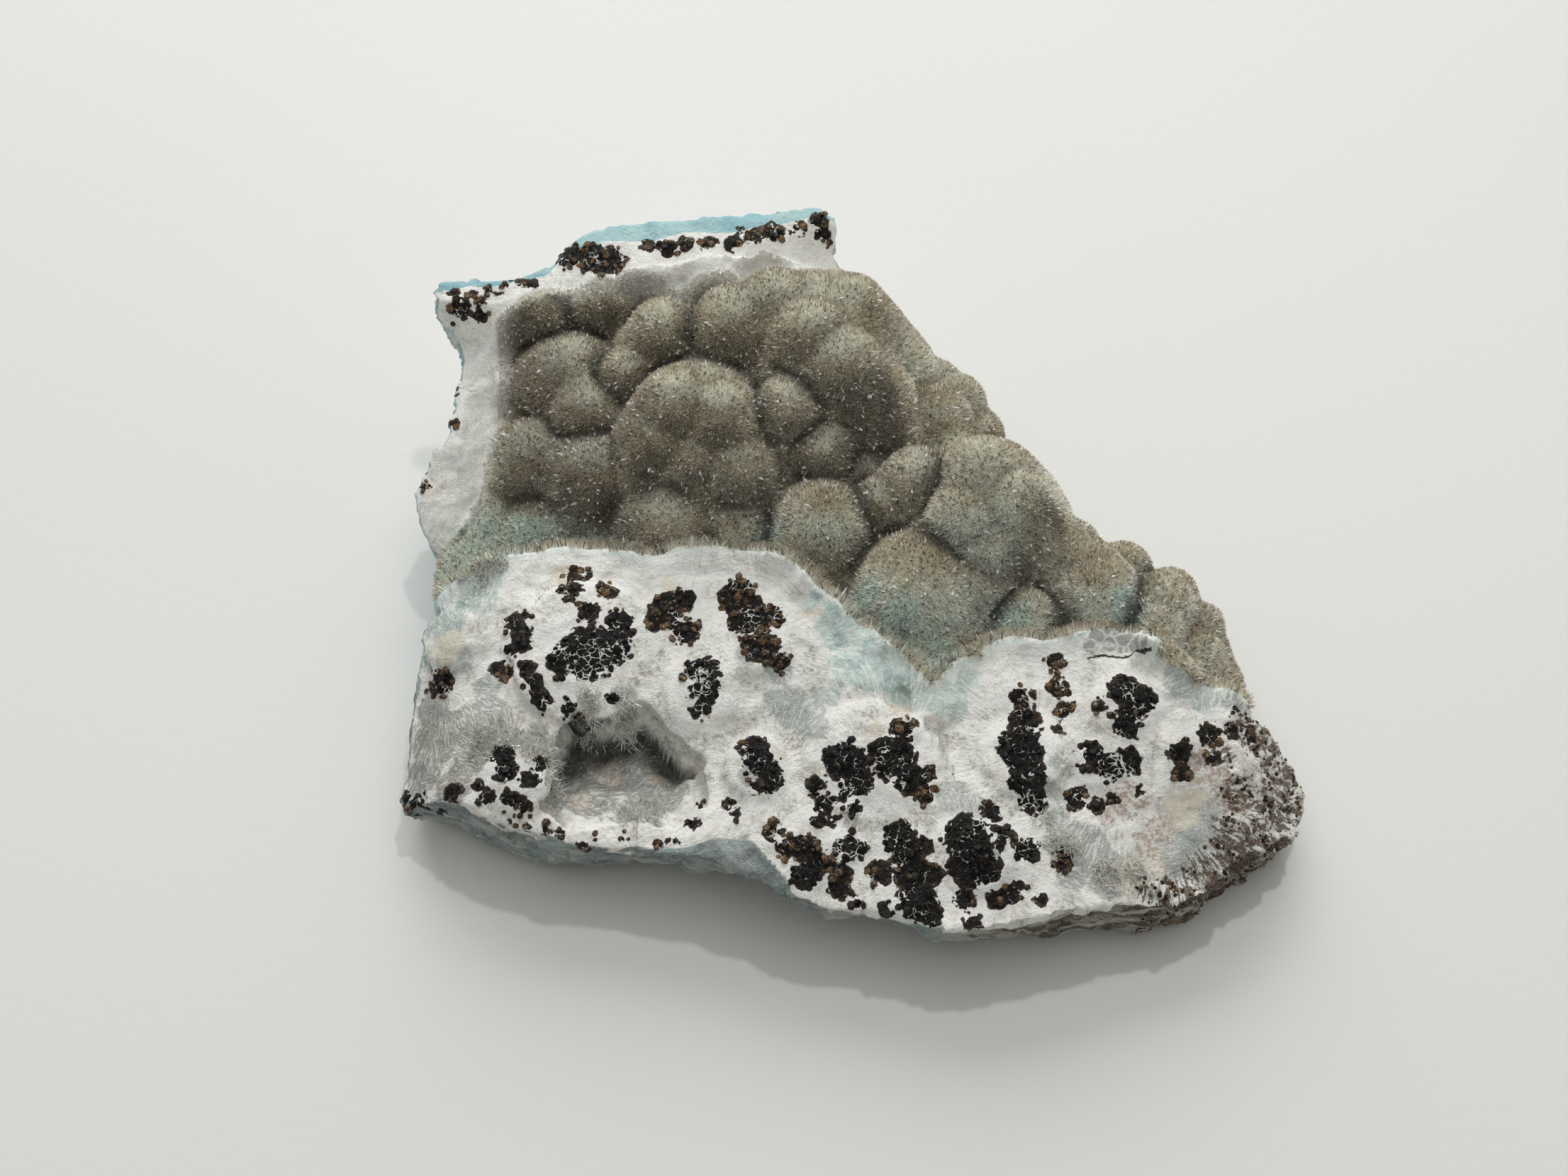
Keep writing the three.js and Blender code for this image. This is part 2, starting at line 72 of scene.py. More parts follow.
# Goethite knots on the broken faces: x, y, radius, and how brown they are (0 black, 1 brown).
goethite_knots = [
    # left nodule
    (-23.5, -3, 1.2, 0.7), (-24, -4.9, 1.2, 0.4), (-20.7, -4.6, 1, 0.8), (-28.3, -7.3, 1.3, 0.2),
    (-28.4, -9.3, 1.6, 0), (-30.1, -11.1, 0.7, 1), (-29.1, -11.6, 0.6, 0.8), (-27.3, -12.1, 0.9, 0.1),
    (-26.6, -13.4, 0.9, 0.1), (-26, -14.8, 0.9, 0), (-23.6, -15.4, 0.9, 0), (-19.9, -14.5, 0.6, 0),
    (-22.2, -10.8, 2.6, 0), (-20.3, -10, 2, 0), (-24, -11.5, 1.6, 0.1), (-22.3, -7, 1.1, 0.3),
    (-19.5, -8.1, 1.4, 0.1),
    # upper middle nodules
    (-15.5, -5.9, 1.7, 0.9), (-14.1, -4.8, 1.1, 0), (-14.1, -7.8, 1.5, 0.7), (-16.5, -7.3, 1.1, 0.8),
    (-9.4, -4.8, 1.8, 0.9), (-8.4, -7.1, 2.1, 0.7), (-7.6, -10, 1.6, 0.6), (-6, -11.1, 1.1, 0.8),
    (-6.6, -7, 1.2, 0.8), (-12.4, -12.3, 1.7, 0.1), (-12.1, -14.3, 1.6, 0.1), (-12.6, -15.8, 1, 0.5),
    (-8, -18.9, 1.3, 0.2), (-7.4, -20.4, 1.6, 0), (-6.6, -21.7, 1.2, 0), (-7.7, -22.4, 0.8, 0.3),
    # lower left
    (-35, -12.1, 1.3, 0.5), (-29, -19.3, 1.2, 0), (-28.7, -20.9, 1.1, 0), (-26.5, -21.7, 0.9, 0.1),
    (-25.9, -20.3, 0.8, 0.1), (-30.9, -21.8, 0.6, 0.1), (-30.1, -23, 0.8, 0.2), (-28.2, -23.4, 0.9, 0.2),
    (-27.1, -23.9, 0.8, 0.3), (-33.3, -22, 0.9, 0.4), (-27.8, -24.9, 0.4, 0.6), (-26.6, -25.2, 0.4, 0.6),
    (-25.3, -25.6, 0.5, 0.5), (-24, -25.9, 0.5, 0.3), (-22.2, -26.7, 0.4, 0.7), (-21.2, -25.9, 0.4, 0.6),
    (-18.7, -26.1, 0.4, 0.8), (-15.7, -26.8, 0.4, 0.4), (-14.7, -26.8, 0.5, 0.4), (-13, -25.2, 0.6, 0.3),
    (-12.5, -22.8, 0.4, 0.3), (-10.1, -23.7, 0.6, 0.3), (-9.5, -24.6, 0.5, 0.3),
    # bottom middle
    (-2.9, -22.2, 0.8, 0.2), (-2.2, -23.8, 0.9, 0.1), (-0.6, -22.9, 0.9, 0), (0.2, -24.4, 0.8, 0),
    (-2.8, -25.2, 0.7, 0.2), (-1.4, -25.2, 0.6, 0.2), (-0.4, -20.4, 1.9, 0), (0.8, -22.3, 1.2, 0),
    (3.5, -20.2, 2.1, 0), (4.8, -22, 1.4, 0.1), (4.5, -17.8, 1.2, 0.9), (6.4, -21.3, 0.7, 1),
    (6.1, -23.1, 0.9, 1), (0, -27.4, 1.4, 0.2), (4, -26.4, 1.4, 0), (4.6, -27.8, 1.3, 0.1),
    (6.1, -27.4, 0.7, 0.3), (-6.3, -26.2, 0.9, 0.7), (-5.3, -27.4, 1, 0.9), (-3.9, -27.5, 1.2, 0.8),
    (-2.4, -28.5, 1.2, 0.9), (-0.8, -29.4, 0.9, 0.7), (-3.7, -29.8, 1.2, 0), (-1, -30.7, 0.9, 0),
    (0.5, -31.8, 0.6, 0), (2.3, -29.5, 1.2, 0.3), (4.9, -29.6, 1.5, 0.2), (6.5, -29.8, 1, 0.3),
    (5.3, -32.1, 1.8, 0), (2.8, -32.7, 0.8, 0), (6.4, -33.2, 1, 0), (9.3, -26.9, 2.1, 0),
    (10, -29.3, 2.2, 0), (9, -31.8, 0.9, 0.2), (11.6, -32.1, 0.8, 0.3), (9.6, -33.7, 0.8, 0.2),
    (11.6, -24.8, 1, 0.4), (12.6, -27, 1, 0.2), (14.4, -28, 1.1, 0), (13.6, -30.8, 0.5, 0.2),
    (15.3, -31.9, 0.6, 0.3), (12.7, -31.5, 0.9, 0.3),
    # right nodules
    (14.7, -14.8, 1.2, 0.6), (14.7, -16.9, 1.5, 0.2), (14.2, -19.5, 2, 0), (14.5, -22, 1.7, 0),
    (14.9, -23.7, 1.4, 0), (17.5, -11.5, 0.9, 0.8), (17.6, -13.6, 1, 0.8), (18.1, -15.6, 0.8, 0.8),
    (17.5, -17.6, 0.6, 1), (23.1, -14.3, 1.5, 0), (24.6, -15.3, 1.4, 0.1), (23.2, -17.2, 1.4, 0.1),
    (20.9, -15.8, 0.6, 0.9), (20, -19.9, 1.3, 0), (21.7, -20.6, 1.5, 0), (23.2, -20.2, 1.2, 0.1),
    (18.7, -23.3, 1.1, 0.3), (20.3, -23.8, 0.8, 0.5), (21.7, -23.3, 0.5, 0.7), (23.9, -22.4, 0.5, 0.6),
    (27.4, -19.4, 1, 0.2), (27.6, -21.2, 0.8, 0.5), (29.9, -18.2, 1, 0.3), (30.2, -20.1, 0.7, 0.5),
    (31.9, -17.5, 0.8, 0.4), (33.8, -17.1, 0.9, 0.5), (17.2, -28.6, 0.9, 0.6),
    # back rim
    (-36.1, 25.3, 0.5, 0.5), (-34.3, 25.3, 0.5, 0.5), (-33, 25.9, 0.5, 0.5), (-31.8, 25.6, 0.5, 0.6),
    (-33.4, 24.3, 0.5, 0.7), (-35.5, 24, 1.1, 0.6), (-33.6, 23.8, 0.7, 0.3), (-31.2, 26.6, 0.5, 0.4),
    (-30, 26.7, 0.6, 0.4), (-28.7, 26.5, 0.6, 0.4), (-25.3, 28.6, 1.3, 0.5), (-23.4, 28.4, 1.5, 0.5),
    (-21.4, 28.2, 1.4, 0.8), (-22.5, 27.2, 0.9, 0.9), (-18.1, 29.4, 0.8, 0.5),
    (-16.3, 29, 0.9, 0.3), (-14.5, 29.6, 0.8, 0.6), (-12.3, 29.6, 0.9, 0.5), (-10.3, 29.9, 0.9, 0.7),
    (-9.5, 31.2, 0.6, 0.5), (-8.3, 30.7, 1, 0.6), (-6.5, 31.2, 1.1, 0.5), (-4.3, 31.6, 0.8, 0.7),
    (-2.3, 32.5, 1, 0.6), (-1.9, 31.6, 0.9, 0.4),
    # left rim
    (-38.1, 11.6, 0.9, 0.9), (-38.3, 9, 0.6, 0.8), (-35.9, 17.9, 0.4, 0.8), (-35.7, 14.3, 0.4, 0.8),
]

# Middles of the nodules on the break, from which their fibres run out: x, y, z.
nodule_middles = [
    (-23.3, -10.3, 9.8), (-14.4, -7.3, 10.2), (-8.2, -8.3, 10.3), (-12.4, -13.8, 10.6),
    (-7.5, -20.4, 9.7), (-28.6, -21, 9), (2, -21.2, 9.9), (-2.8, -28.4, 8.7), (5, -29.5, 7.8),
    (9.9, -28.3, 9.3), (14.5, -19.7, 10.5), (23.6, -15.7, 11.5), (21.5, -20.3, 10), (28.6, -19.9, 10.5),
    (-35, -12.1, 9), (30, -26.2, 5.2), (-35.7, 10.3, 12.1), (-30.7, 24.9, 14), (-21.7, 28.1, 14.8),
    (-11.7, 29.6, 15), (-3.7, 31.3, 14.8),
]

# Clear patches of the broken rock: x, y, radius, how green-blue they are, how dark they are.
clear_patches = [
    # left end of the break
    (-34.5, -4.1, 3, 1, 0.35), (-36.1, -5.9, 2, 1, 0.3), (-32, -4.9, 1.8, 0.9, 0.2),
    (-31.2, -2, 1.5, 0.8, 0.2), (-33.3, -10.4, 1.1, 0.3, 0.3), (-30.7, -12.8, 1.2, 0.3, 0.3),
    (-34.9, -16.9, 2.4, 0, 0.6), (-36, -19.1, 1.9, 0, 0.6), (-32.5, -16.5, 2, 0, 0.55),
    (-33.1, -21.4, 1.7, 0, 0.6), (-30.5, -15.4, 1.8, 0.2, 0.4), (-35.6, -13.9, 1.5, 0.1, 0.5),
    (-31.7, -19.3, 1.5, 0, 0.5), (-20.5, -19, 2.6, 0.1, 0.6), (-17.5, -19.5, 2.4, 0.1, 0.35),
    (-21.5, -21.8, 2.2, 0, 0.6), (-18, -22.5, 2, 0.1, 0.4), (-15.5, -20.8, 2, 0, 0.45),
    (-24, -21.5, 1.2, 0, 0.5),
    (-36.3, -3.2, 1.6, 1, 0.1), (-35.2, -2.2, 1.6, 1, 0), (-33, -3.2, 1.4, 1, 0.1), (-31, -3.4, 1, 0.8, 0),
    (-34.5, -7.2, 1.5, 0.8, 0.2), (-34, -10, 1.4, 0.5, 0.3),
    # middle
    (-3, -5.8, 0.8, 1, 0), (-1.8, -7.6, 1.3, 1, 0), (-0.6, -8.9, 1.6, 1, 0), (0.8, -10.2, 1.8, 1, 0),
    (2.6, -11.8, 1.8, 1, 0), (4.2, -13.2, 1.6, 1, 0.05), (7.6, -14.8, 1.2, 0.9, 0.05),
    (8.8, -14.2, 1.2, 0.8, 0), (10.2, -12.6, 1, 0.7, 0),
    (-1.1, -8.4, 1.2, 0.9, 0.1), (-0.1, -11.8, 1.7, 1, 0.1), (1.7, -12.1, 2, 1, 0.15),
    (3.7, -12.3, 1.6, 0.9, 0.2), (5.5, -14.5, 1.3, 0.6, 0.2), (-4.8, -15.2, 1.6, 0.3, 0.25),
    (-2.9, -17.1, 1.3, 0.3, 0.25), (-6.3, -14.4, 1, 0.3, 0.2), (-2, -14.5, 1.1, 0.6, 0.1),
    (8.8, -15, 1.3, 0.7, 0.2), (8.5, -23.2, 1.5, 0.1, 0.2), (10.2, -24.4, 1.2, 0.1, 0.2),
    (-16.6, -6.5, 0.9, 0, 0.4), (-8.6, -10.8, 1, 0, 0.3), (-5.9, -12.1, 1.2, 0.2, 0.2),
    (-19.1, -14.2, 1, 0, 0.3), (0, -25.2, 0.7, 0, 0.5), (-8.2, -21.6, 1.1, 0.1, 0.3),
    # right
    (28.3, -13.2, 1.8, 0.5, 0.25), (29.9, -14.8, 1.3, 0.5, 0.2), (32.3, -14.8, 1.2, 0.3, 0.2),
    (16.9, -20.9, 0.6, 0.2, 0.2), (16.8, -23, 0.7, 0.2, 0.2), (16.9, -25.4, 1.2, 0.2, 0.2),
    (17, -27.2, 1.4, 0.2, 0.3), (19.1, -27.6, 2.2, 0.1, 0.3), (20.9, -29.5, 1.9, 0.1, 0.25),
    (17.8, -30, 1.3, 0.1, 0.4), (27.7, -26.1, 2, 0.2, 0.15), (29, -24.8, 1.4, 0.2, 0.1),
    (26.6, -27.8, 1.2, 0.2, 0.2), (11.2, -28.8, 0.8, 0, 0.4),
]

# Parts of the crystal crust without brown, where it shows clear and greenish: x, y, radius.
clear_hollows = [
    (-34.7, 0.5, 4.5), (-30.7, 2.5, 4), (-33.5, 0.6, 3), (-27.6, -0.7, 3), (4.3, -5.9, 4),
    (1.4, -6.3, 3), (7.3, -9.4, 3), (16.4, -7.6, 3), (-7.7, 0.3, 2.5), (-2.7, -4.7, 2), (20.3, 8.4, 5),
    (12.6, 5, 4), (9.4, 22.2, 3.5), (-1.7, 6.5, 1.5), (26.6, -5.8, 2.4), (12.4, -6.8, 2.5),
    (30.6, -9.9, 2.5), (-31.4, 9.7, 2),
]

# Parts of the crust that are clear and green-blue: x, y, radius.
teal_hollows = [
    (-35, 0.5, 4.2), (-32.6, 1.2, 3.4), (-30, 0.6, 2.4), (-33.4, 4.8, 2.6), (4.3, -8.4, 2.4), (8, -10.6, 2),
    (-24, 3, 2.6), (-28.4, 3.4, 2.8), (-20, 2.2, 2), (-6.8, 1, 1.8), (1, -5.5, 2), (14, -7, 2), (24, -6.5, 2),
]

# Cream patches of the rock: x, y, radius, and how pink they are.
cream_patches = [
    (27.4, -23.8, 1.5, 0), (28.8, -23, 0.9, 0), (23.5, -23, 1.2, 1), (22.2, -23.7, 1.1, 1),
    (25.5, -25.6, 1.3, 1), (24.5, -26.6, 1.2, 1), (28.9, -20.9, 1.4, 1), (30.7, -21.9, 1.2, 1),
    (31.8, -23.3, 1.1, 1), (21.1, -24.6, 0.8, 1), (22.7, -29.5, 1.5, 0.5), (24.6, -28.3, 1.3, 0.6),
    (-34.3, -9.3, 1.3, 0), (-24.9, -2.8, 1.1, 0.3), (-15.7, -3.5, 0.7, 0), (4.3, -15.7, 1, 0.4),
    (2.2, -17.7, 0.8, 0.3), (-37.5, 8.6, 1.2, 0.4), (-2.8, -6.9, 0.7, 0.2), (-20.5, -18.8, 1.2, 0.8),
    (-22.6, -21.9, 0.9, 0.8), (-16.6, -19.4, 0.8, 0.7),
]

# Brown, streaked and gritty end of the rock: x, y, radius.
brown_end = [
    (35.7, -17.1, 2.7), (37.1, -19.8, 2.5), (36.2, -22.4, 2.2), (35.3, -24.5, 2.5), (32.3, -22.8, 1.8),
    (31.9, -27.1, 2.5), (29.2, -29.1, 2.2), (26.7, -30.2, 1.6), (33.5, -17.3, 1.9), (30.8, -19.9, 1.3),
    (24.3, -30.7, 1.2), (31.1, -25.3, 1.4),
]

# Grey patch beside the crystals that is parted into tiles by white lines: x, y, radius.
tiled_patch = [
    (20.7, -10, 0.7), (21.2, -9.3, 0.7), (22.3, -9.5, 1), (23.4, -9.7, 1), (24.4, -10, 0.9),
]

# Places where loose sprays of longer white crystals stand on the rock: x, y, radius.
white_sprays = [
    (-32.1, -2.3, 1.4), (-30.7, -1.4, 1.1), (-16.7, -23.2, 1.5), (-18.3, -24, 1.1), (-29.8, -17.4, 1.7),
    (-26.1, -18.7, 1.4), (-30.9, -18.7, 1.2), (-25.4, -21.1, 1.1), (-26.2, -17.3, 1.2),
    (-22.1, -15, 1.2), (-19.1, -15.2, 1.1), (17.3, -27.8, 1.5), (15.7, -24.9, 0.9), (20.8, -29.5, 1.2),
    (23.2, -28.9, 0.9), (-28.2, -18, 1.4),
]

# Area in plan that the crystals cover, anticlockwise from the left end of the crest: x, y.
velvet_area = [
    (-35.2, -3.4), (-33.1, -2.9), (-31.7, -1.8), (-29.7, -0.7), (-27.9, -0.1), (-25.1, 0.3), (-22.8, 0),
    (-20, -0.2), (-17.6, -0.7), (-15.9, -0.2), (-13.8, -0.1), (-11.2, 0), (-8.7, -0.3), (-6.9, -0.7),
    (-5.3, -1.8), (-3.8, -3.2), (-2.6, -4.6), (-1, -5.9), (0.4, -7.6), (2.3, -8.7), (4.9, -11.3),
    (6.8, -12.9), (7.5, -13.1), (8.1, -12.3), (9.2, -11.4), (10.9, -10.6), (11.7, -9.5), (14.2, -9),
    (16.3, -9.5), (18.2, -9.2), (20.1, -8.7), (22.5, -8.5), (25.2, -8.8), (26.2, -9.7), (26.6, -11.7),
    (28.7, -13.2), (30.7, -13.8), (32.3, -13.5), (34.2, -13.9), (46, -18), (46, 20), (10.3, 37.4),
    (2.3, 27.8), (-4.6, 27.4), (-9.8, 26.2), (-15, 25.2), (-19.4, 25.9), (-23, 26.2), (-25.6, 25.1),
    (-28.2, 25.6), (-31, 24.2), (-32, 21.4), (-31.7, 17.9), (-32.1, 14.9), (-32.7, 12.1), (-33.1, 8.6),
    (-34.4, 5.4), (-36.3, 2.7), (-36.3, -1.6),
]

# Domes of the crust, as in the CAD part: x, y, z, radius.
domes = [
    (-2.7, 21.2, 14.4, 7.1), (-6.2, 22.2, 18.6, 3.7), (-3.3, 18, 19.6, 3.6), (-0.7, 15.4, 18.5, 3.9),
    (0.3, 22.8, 17.4, 3.6), (-10.1, 20.4, 18.2, 3.8), (-12.1, 26.4, 17.6, 2.6), (-16.4, 20.4, 17.2, 3.2),
    (-5.2, 11.5, 17.6, 2.8), (-2.4, 9.3, 14.5, 3), (-13.3, 12.4, 13.8, 6.2), (-15, 11.3, 18.2, 3.3),
    (-10.9, 10.2, 18.3, 3.1), (-16.7, 9.5, 16.2, 3.3), (-9.7, 7.2, 15, 3.3), (-13.1, 7.9, 15.4, 3),
    (-25.4, 18.8, 12.1, 4.9), (-23.3, 13.7, 13.8, 3.2), (-19.6, 17.2, 15, 2.9), (-28.3, 10.9, 10.6, 4),
    (-22.7, 9.1, 11.5, 4.1), (-28.4, 26.6, 14.7, 2.8), (-22.4, 27, 16, 3), (-27.7, 5.4, 8, 3.1),
    (-15.8, 4.7, 9.5, 5), (-9.7, 4, 10.2, 3.8), (-2.1, 2.4, 12.1, 4.4), (2.9, 4.2, 13.1, 2.4),
    (1.5, 9, 11.7, 2.4), (6.3, -3.5, 10.3, 5.7), (7.3, -6, 8.9, 4.3), (11, -2.5, 11.4, 3.6),
    (12.3, 4.5, 13.6, 5.4), (11.9, 5, 17.2, 2.8), (14.4, 2.4, 16.4, 2.8), (10.1, 1.2, 15.6, 2.9),
    (6.4, 5.7, 14.4, 3.1), (12, -0.6, 12.8, 3.7), (4, 16, 9.9, 3.6), (8.1, 17, 8.5, 4),
    (5.4, 21.4, 10, 3.5), (10.6, 20.1, 7.6, 2.9), (22, -4.2, 10.7, 3.8), (21.3, -1.5, 10.5, 3),
    (18.7, -1.1, 8.9, 3.3), (15.7, -6.1, 10.4, 2.6), (27.2, -4.7, 9.8, 3.2), (26.7, -7.3, 11.3, 2.1),
    (30, -8.4, 8.4, 2.6), (30.9, -5.6, 8.4, 2.1), (-1.2, 24.2, 16.5, 3.6), (1.8, 22.9, 13, 3.4),
    (4.8, 23.4, 8.5, 2.9), (8.9, 22.4, 7, 2.8), (12.3, 17.2, 6.2, 2.9), (14.9, 12.2, 6.4, 3),
    (17.3, 6.6, 7.2, 3), (20.3, 3.2, 7.4, 2.9), (24.9, 0.8, 7, 2.9), (28.5, -2, 7.4, 2.8),
    (30.9, -7.2, 6.6, 2.7),
]

# Black lump at the lower left corner of the front: x, y, z, radius, brownness.
corner_lump = [
    (-38.1, -20.3, 4.2, 0.9, 0.1), (-36.6, -21.1, 5.2, 0.9, 0), (-35.7, -21.9, 5.2, 0.8, 0.1),
    (-34.6, -22.2, 5, 0.7, 0.2), (-37.2, -20.9, 3.6, 0.8, 0.2),
]

# The teal layer of the front begins below this line: x, y.
front_line = [
    (-40, -18.6), (-38.6, -20.4), (-36, -21.9), (-33.8, -22.9), (-29.7, -24.7), (-26.6, -25.7),
    (-23.6, -26.5), (-18.7, -27.1), (-14, -27.3), (-10.5, -26.6), (-8, -26.8), (-6.6, -28.6),
    (-4.7, -31.1), (0, -33.4), (8, -36),
]

# Further lobes of the crust under the back rim: x, y, z, radius.
ledge_lobes = [
    (-28.2, 24.2, 15.6, 2.6), (-23.3, 25.5, 15.9, 2.4), (-20.8, 25.8, 15.9, 2.4), (-30.6, 24, 15.2, 1.8),
]

# Middles of the larger lobes that the domes make up together: x, y. Creases are deepest between them.
lobe_middles = np.array([
    (-4.5, 19.5), (-17.5, 19), (-5.2, 11.5), (-2.4, 9.3), (-12.8, 9.5), (-23.5, 16.5), (-25.5, 10),
    (-28.5, 25.4), (-22.2, 26.4), (-27.7, 5.4), (-13, 4), (-2.1, 2.4), (2.9, 4.2), (1.5, 9), (7.5, -4),
    (11.5, 3), (7, 18.5), (21, -2.5), (15.7, -6.1), (28.5, -6.5), (17, 8),
])

# Places between the lobes where shade is painted darkest: x, y, radius.
crease_shade_spots = [
    (1.1, 11, 2.2), (-3.7, 6.5, 1.4), (-7.2, 4.3, 1.2), (-17.6, 5.6, 1.6), (-21.4, 4.5, 1.9),
    (-19.6, 14.7, 1.1), (-28.6, 7, 1.4), (-14.4, 18.8, 1.2), (3.6, 13.1, 1.8), (0.3, 8.2, 1.5),
    (-7.9, 12.7, 1), (-22.4, 22, 1.4), (-25, 21.8, 1.1), (-28, 21.4, 1.1), (-24.5, 6, 1.6),
    (3.2, 9.8, 1.8), (18.4, -6.6, 1.6), (5.6, 9.6, 1.6), (-12, 1.2, 1.2), (2.2, 0.2, 1.2),
    (17.8, 1.4, 1.5), (24.6, -6.2, 1.1), (14.9, -2.7, 1.7), (4.2, 11.4, 1.8),
]

# Domes whose fronts are clear and greenish, with brown only on their backs: x, y, radius.
clear_fronts = [
    (6.3, -4, 6.5), (12, -1, 4), (22, -4.5, 6), (28.5, -8, 5), (17, 8, 6), (9, 20, 5), (-2, 1.5, 3.5),
    (16, -7, 4), (-28, 4, 3.5), (-33, 2, 5), (24.5, 0.5, 4), (9, -8, 5), (24, -7, 4),
]

# Lobes of the crust that are browner and also carry some painted shade: x, y, radius.
browner_shaded_lobes = [
    (-27, 12, 6), (-24.5, 7.5, 5), (-28, 17, 4), (-19.5, 10, 3), (-20.5, 1.5, 3),
]

# Crack below the tiled patch: x, y.
crack_line = [(20, -11.2), (21.6, -10.9), (23.3, -11.1), (24.6, -10.8), (25.8, -10.7)]

# The back and left outer layer of turquoise begins behind this line: x, y.
turquoise_line = [
    (-45, 25.2), (-37.7, 25.7), (-29.7, 27), (-27.5, 27.5), (-26.2, 28.9), (-21.7, 29.9), (-14.7, 30.7),
    (-8.7, 31.5), (-4.7, 32.4), (-0.7, 33), (45, 34.4),
]

# Nodules that stand a little proud of the front break, flattened to it: x, y, radius, rise.
proud_nodules = [
    (-22.6, -10.2, 6.6, 0.5), (-12.4, -14, 3.5, 0.5), (-8.4, -8.2, 4.4, 0.35), (-27.7, -21, 3.4, 0.4),
    (-7.5, -20.5, 3, 0.3), (1.8, -20.8, 6, 0.4), (14.5, -19.4, 4, 0.4), (23.4, -15.9, 3.4, 0.35),
    (21.3, -21, 3, 0.25), (9.7, -28.6, 3.6, 0.35), (4.6, -30.6, 3, 0.3), (-34.2, -8.8, 3, 0.3),
]

# Knots whose grains are parted by a net of white lines: x, y, radius.
netted_knots = [
    (-22.2, -11.1, 2.6), (-12.3, -14, 2.8), (0, -27.4, 1.8), (-8.3, -7.4, 1.6), (21.7, -20.6, 1.6),
]

# Rounded lumps in the hollow of the front break: x, y, radius, how far their tops stand over its floor.
hollow_lumps = [
    (-19.6, -17.8, 1.8, 0.9), (-16.8, -19.7, 2, 1), (-22.1, -20.2, 1.7, 0.7), (-19.3, -22.3, 1.8, 0.8),
    (-15.1, -22.4, 1.7, 0.7), (-23.5, -23.1, 1.4, 0.6), (-17.8, -16.2, 1.2, 0.5),
    (-13.8, -20.3, 1.2, 0.5), (-22.4, -24.3, 1.6, 1.5), (-20.2, -24.4, 1.7, 1.6), (-17.9, -24.5, 1.7, 1.7),
    (-15.6, -24, 1.6, 1.6), (-13.4, -22.8, 1.5, 1.5),
]

# Back part of that hollow, which is deeper: x, y.
deep_hollow = [
    (-25.4, -20.4), (-24.8, -18.2), (-23.4, -15.4), (-19.8, -16.2), (-17.4, -14.8), (-15.4, -17.3),
    (-13, -19.6), (-15, -21.6), (-19, -22.4), (-23, -22),
]


# ---- small tools ------------------------------------------------------------------------------------

def add_to_scene(thing):
    bpy.context.scene.collection.objects.link(thing)


def finish_piece(piece, material):
    """Gives a piece its material and its body, and puts it in the scene."""
    piece.data.materials.append(material)
    add_to_scene(piece)
    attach(piece, "root")
    return piece


def rows_of_three(items, key):
    """A vector of each of a mesh's items, as the rows of an array."""
    values = np.empty(len(items) * 3, np.float32)
    items.foreach_get(key, values)
    return values.reshape(-1, 3).astype(float)


def mesh_of(shape, name):
    """A mesh with the faces of a bmesh."""
    mesh = bpy.data.meshes.new(name)
    shape.to_mesh(mesh)
    return mesh


def move_to(mesh, places):
    """Puts the vertices of a mesh at places in millimetres, and returns their normals."""
    mesh.vertices.foreach_set("co", (places * MM).astype(np.float32).ravel())
    mesh.update()
    return rows_of_three(mesh.vertex_normals, "vector")


def keep(mesh, name, values):
    """Stores one number for each vertex, for the materials to read."""
    layer = mesh.attributes.new(name, "FLOAT", "POINT")
    layer.data.foreach_set("value", np.asarray(values, np.float32))


def keep_vector(mesh, name, values):
    """Stores a vector for each vertex."""
    layer = mesh.attributes.new(name, "FLOAT_VECTOR", "POINT")
    layer.data.foreach_set("vector", np.asarray(values, np.float32).ravel())


def ease(values, start, end):
    """0 at the start and 1 at the end, with a soft step between them."""
    t = np.clip((values - start) / (end - start), 0, 1)
    return t * t * (3 - 2 * t)


def patch_mask(points, patches):
    """1 inside the discs of a table, fading to 0 round them. Points are in millimetres."""
    mask = np.zeros(len(points))
    for x, y, radius, *_ in patches:
        out = np.hypot(points[:, 0] - x, points[:, 1] - y) / radius
        mask = np.maximum(mask, 1 - ease(out, 0.45, 1.25))
    return mask


def patch_gap(points, patches):
    """Distance outside the discs of a table, below 0 inside, and a blend of the discs' further values."""
    gap = np.full(len(points), FAR)
    weight = np.full(len(points), 1e-9)
    values = np.zeros((len(points), len(patches[0]) - 3))
    for x, y, radius, *own in patches:
        out = np.hypot(points[:, 0] - x, points[:, 1] - y) - radius
        gap = np.minimum(gap, out)
        share = np.exp(-np.clip(out, -3, 9) / 0.5)
        weight += share
        values += share[:, None] * np.array(own)
    return gap, values / weight[:, None]


def inside(points, outline):
    """How far inside an outline in plan each point lies: below 0 outside it."""
    corners = np.array(outline, float)
    ends = np.roll(corners, -1, axis=0)
    within = np.zeros(len(points), bool)
    nearest = np.full(len(points), 1e9)
    for (x0, y0), (x1, y1) in zip(corners, ends):
        run = np.array([x1 - x0, y1 - y0])
        away = points[:, :2] - (x0, y0)
        along = np.clip(away @ run / (run @ run), 0, 1)
        nearest = np.minimum(nearest, np.linalg.norm(away - along[:, None] * run, axis=1))
        crosses = (y0 > points[:, 1]) != (y1 > points[:, 1])
        meeting = x0 + (points[:, 1] - y0) * (x1 - x0) / (y1 - y0 if y1 != y0 else 1e-9)
        within ^= crosses & (points[:, 0] < meeting)
    return np.where(within, nearest, -nearest)


def noise_start(seed):
    """Where in the noise a pattern begins."""
    return Vector((seed * 7.3, seed * 3.1, seed * 5.7))


def rough(points, size, seed):
    """Smooth noise of about -1 to 1 at each point, with lumps of the given size."""
    shift = noise_start(seed)
    return np.array([noise.noise(Vector(p) / size + shift) for p in points])


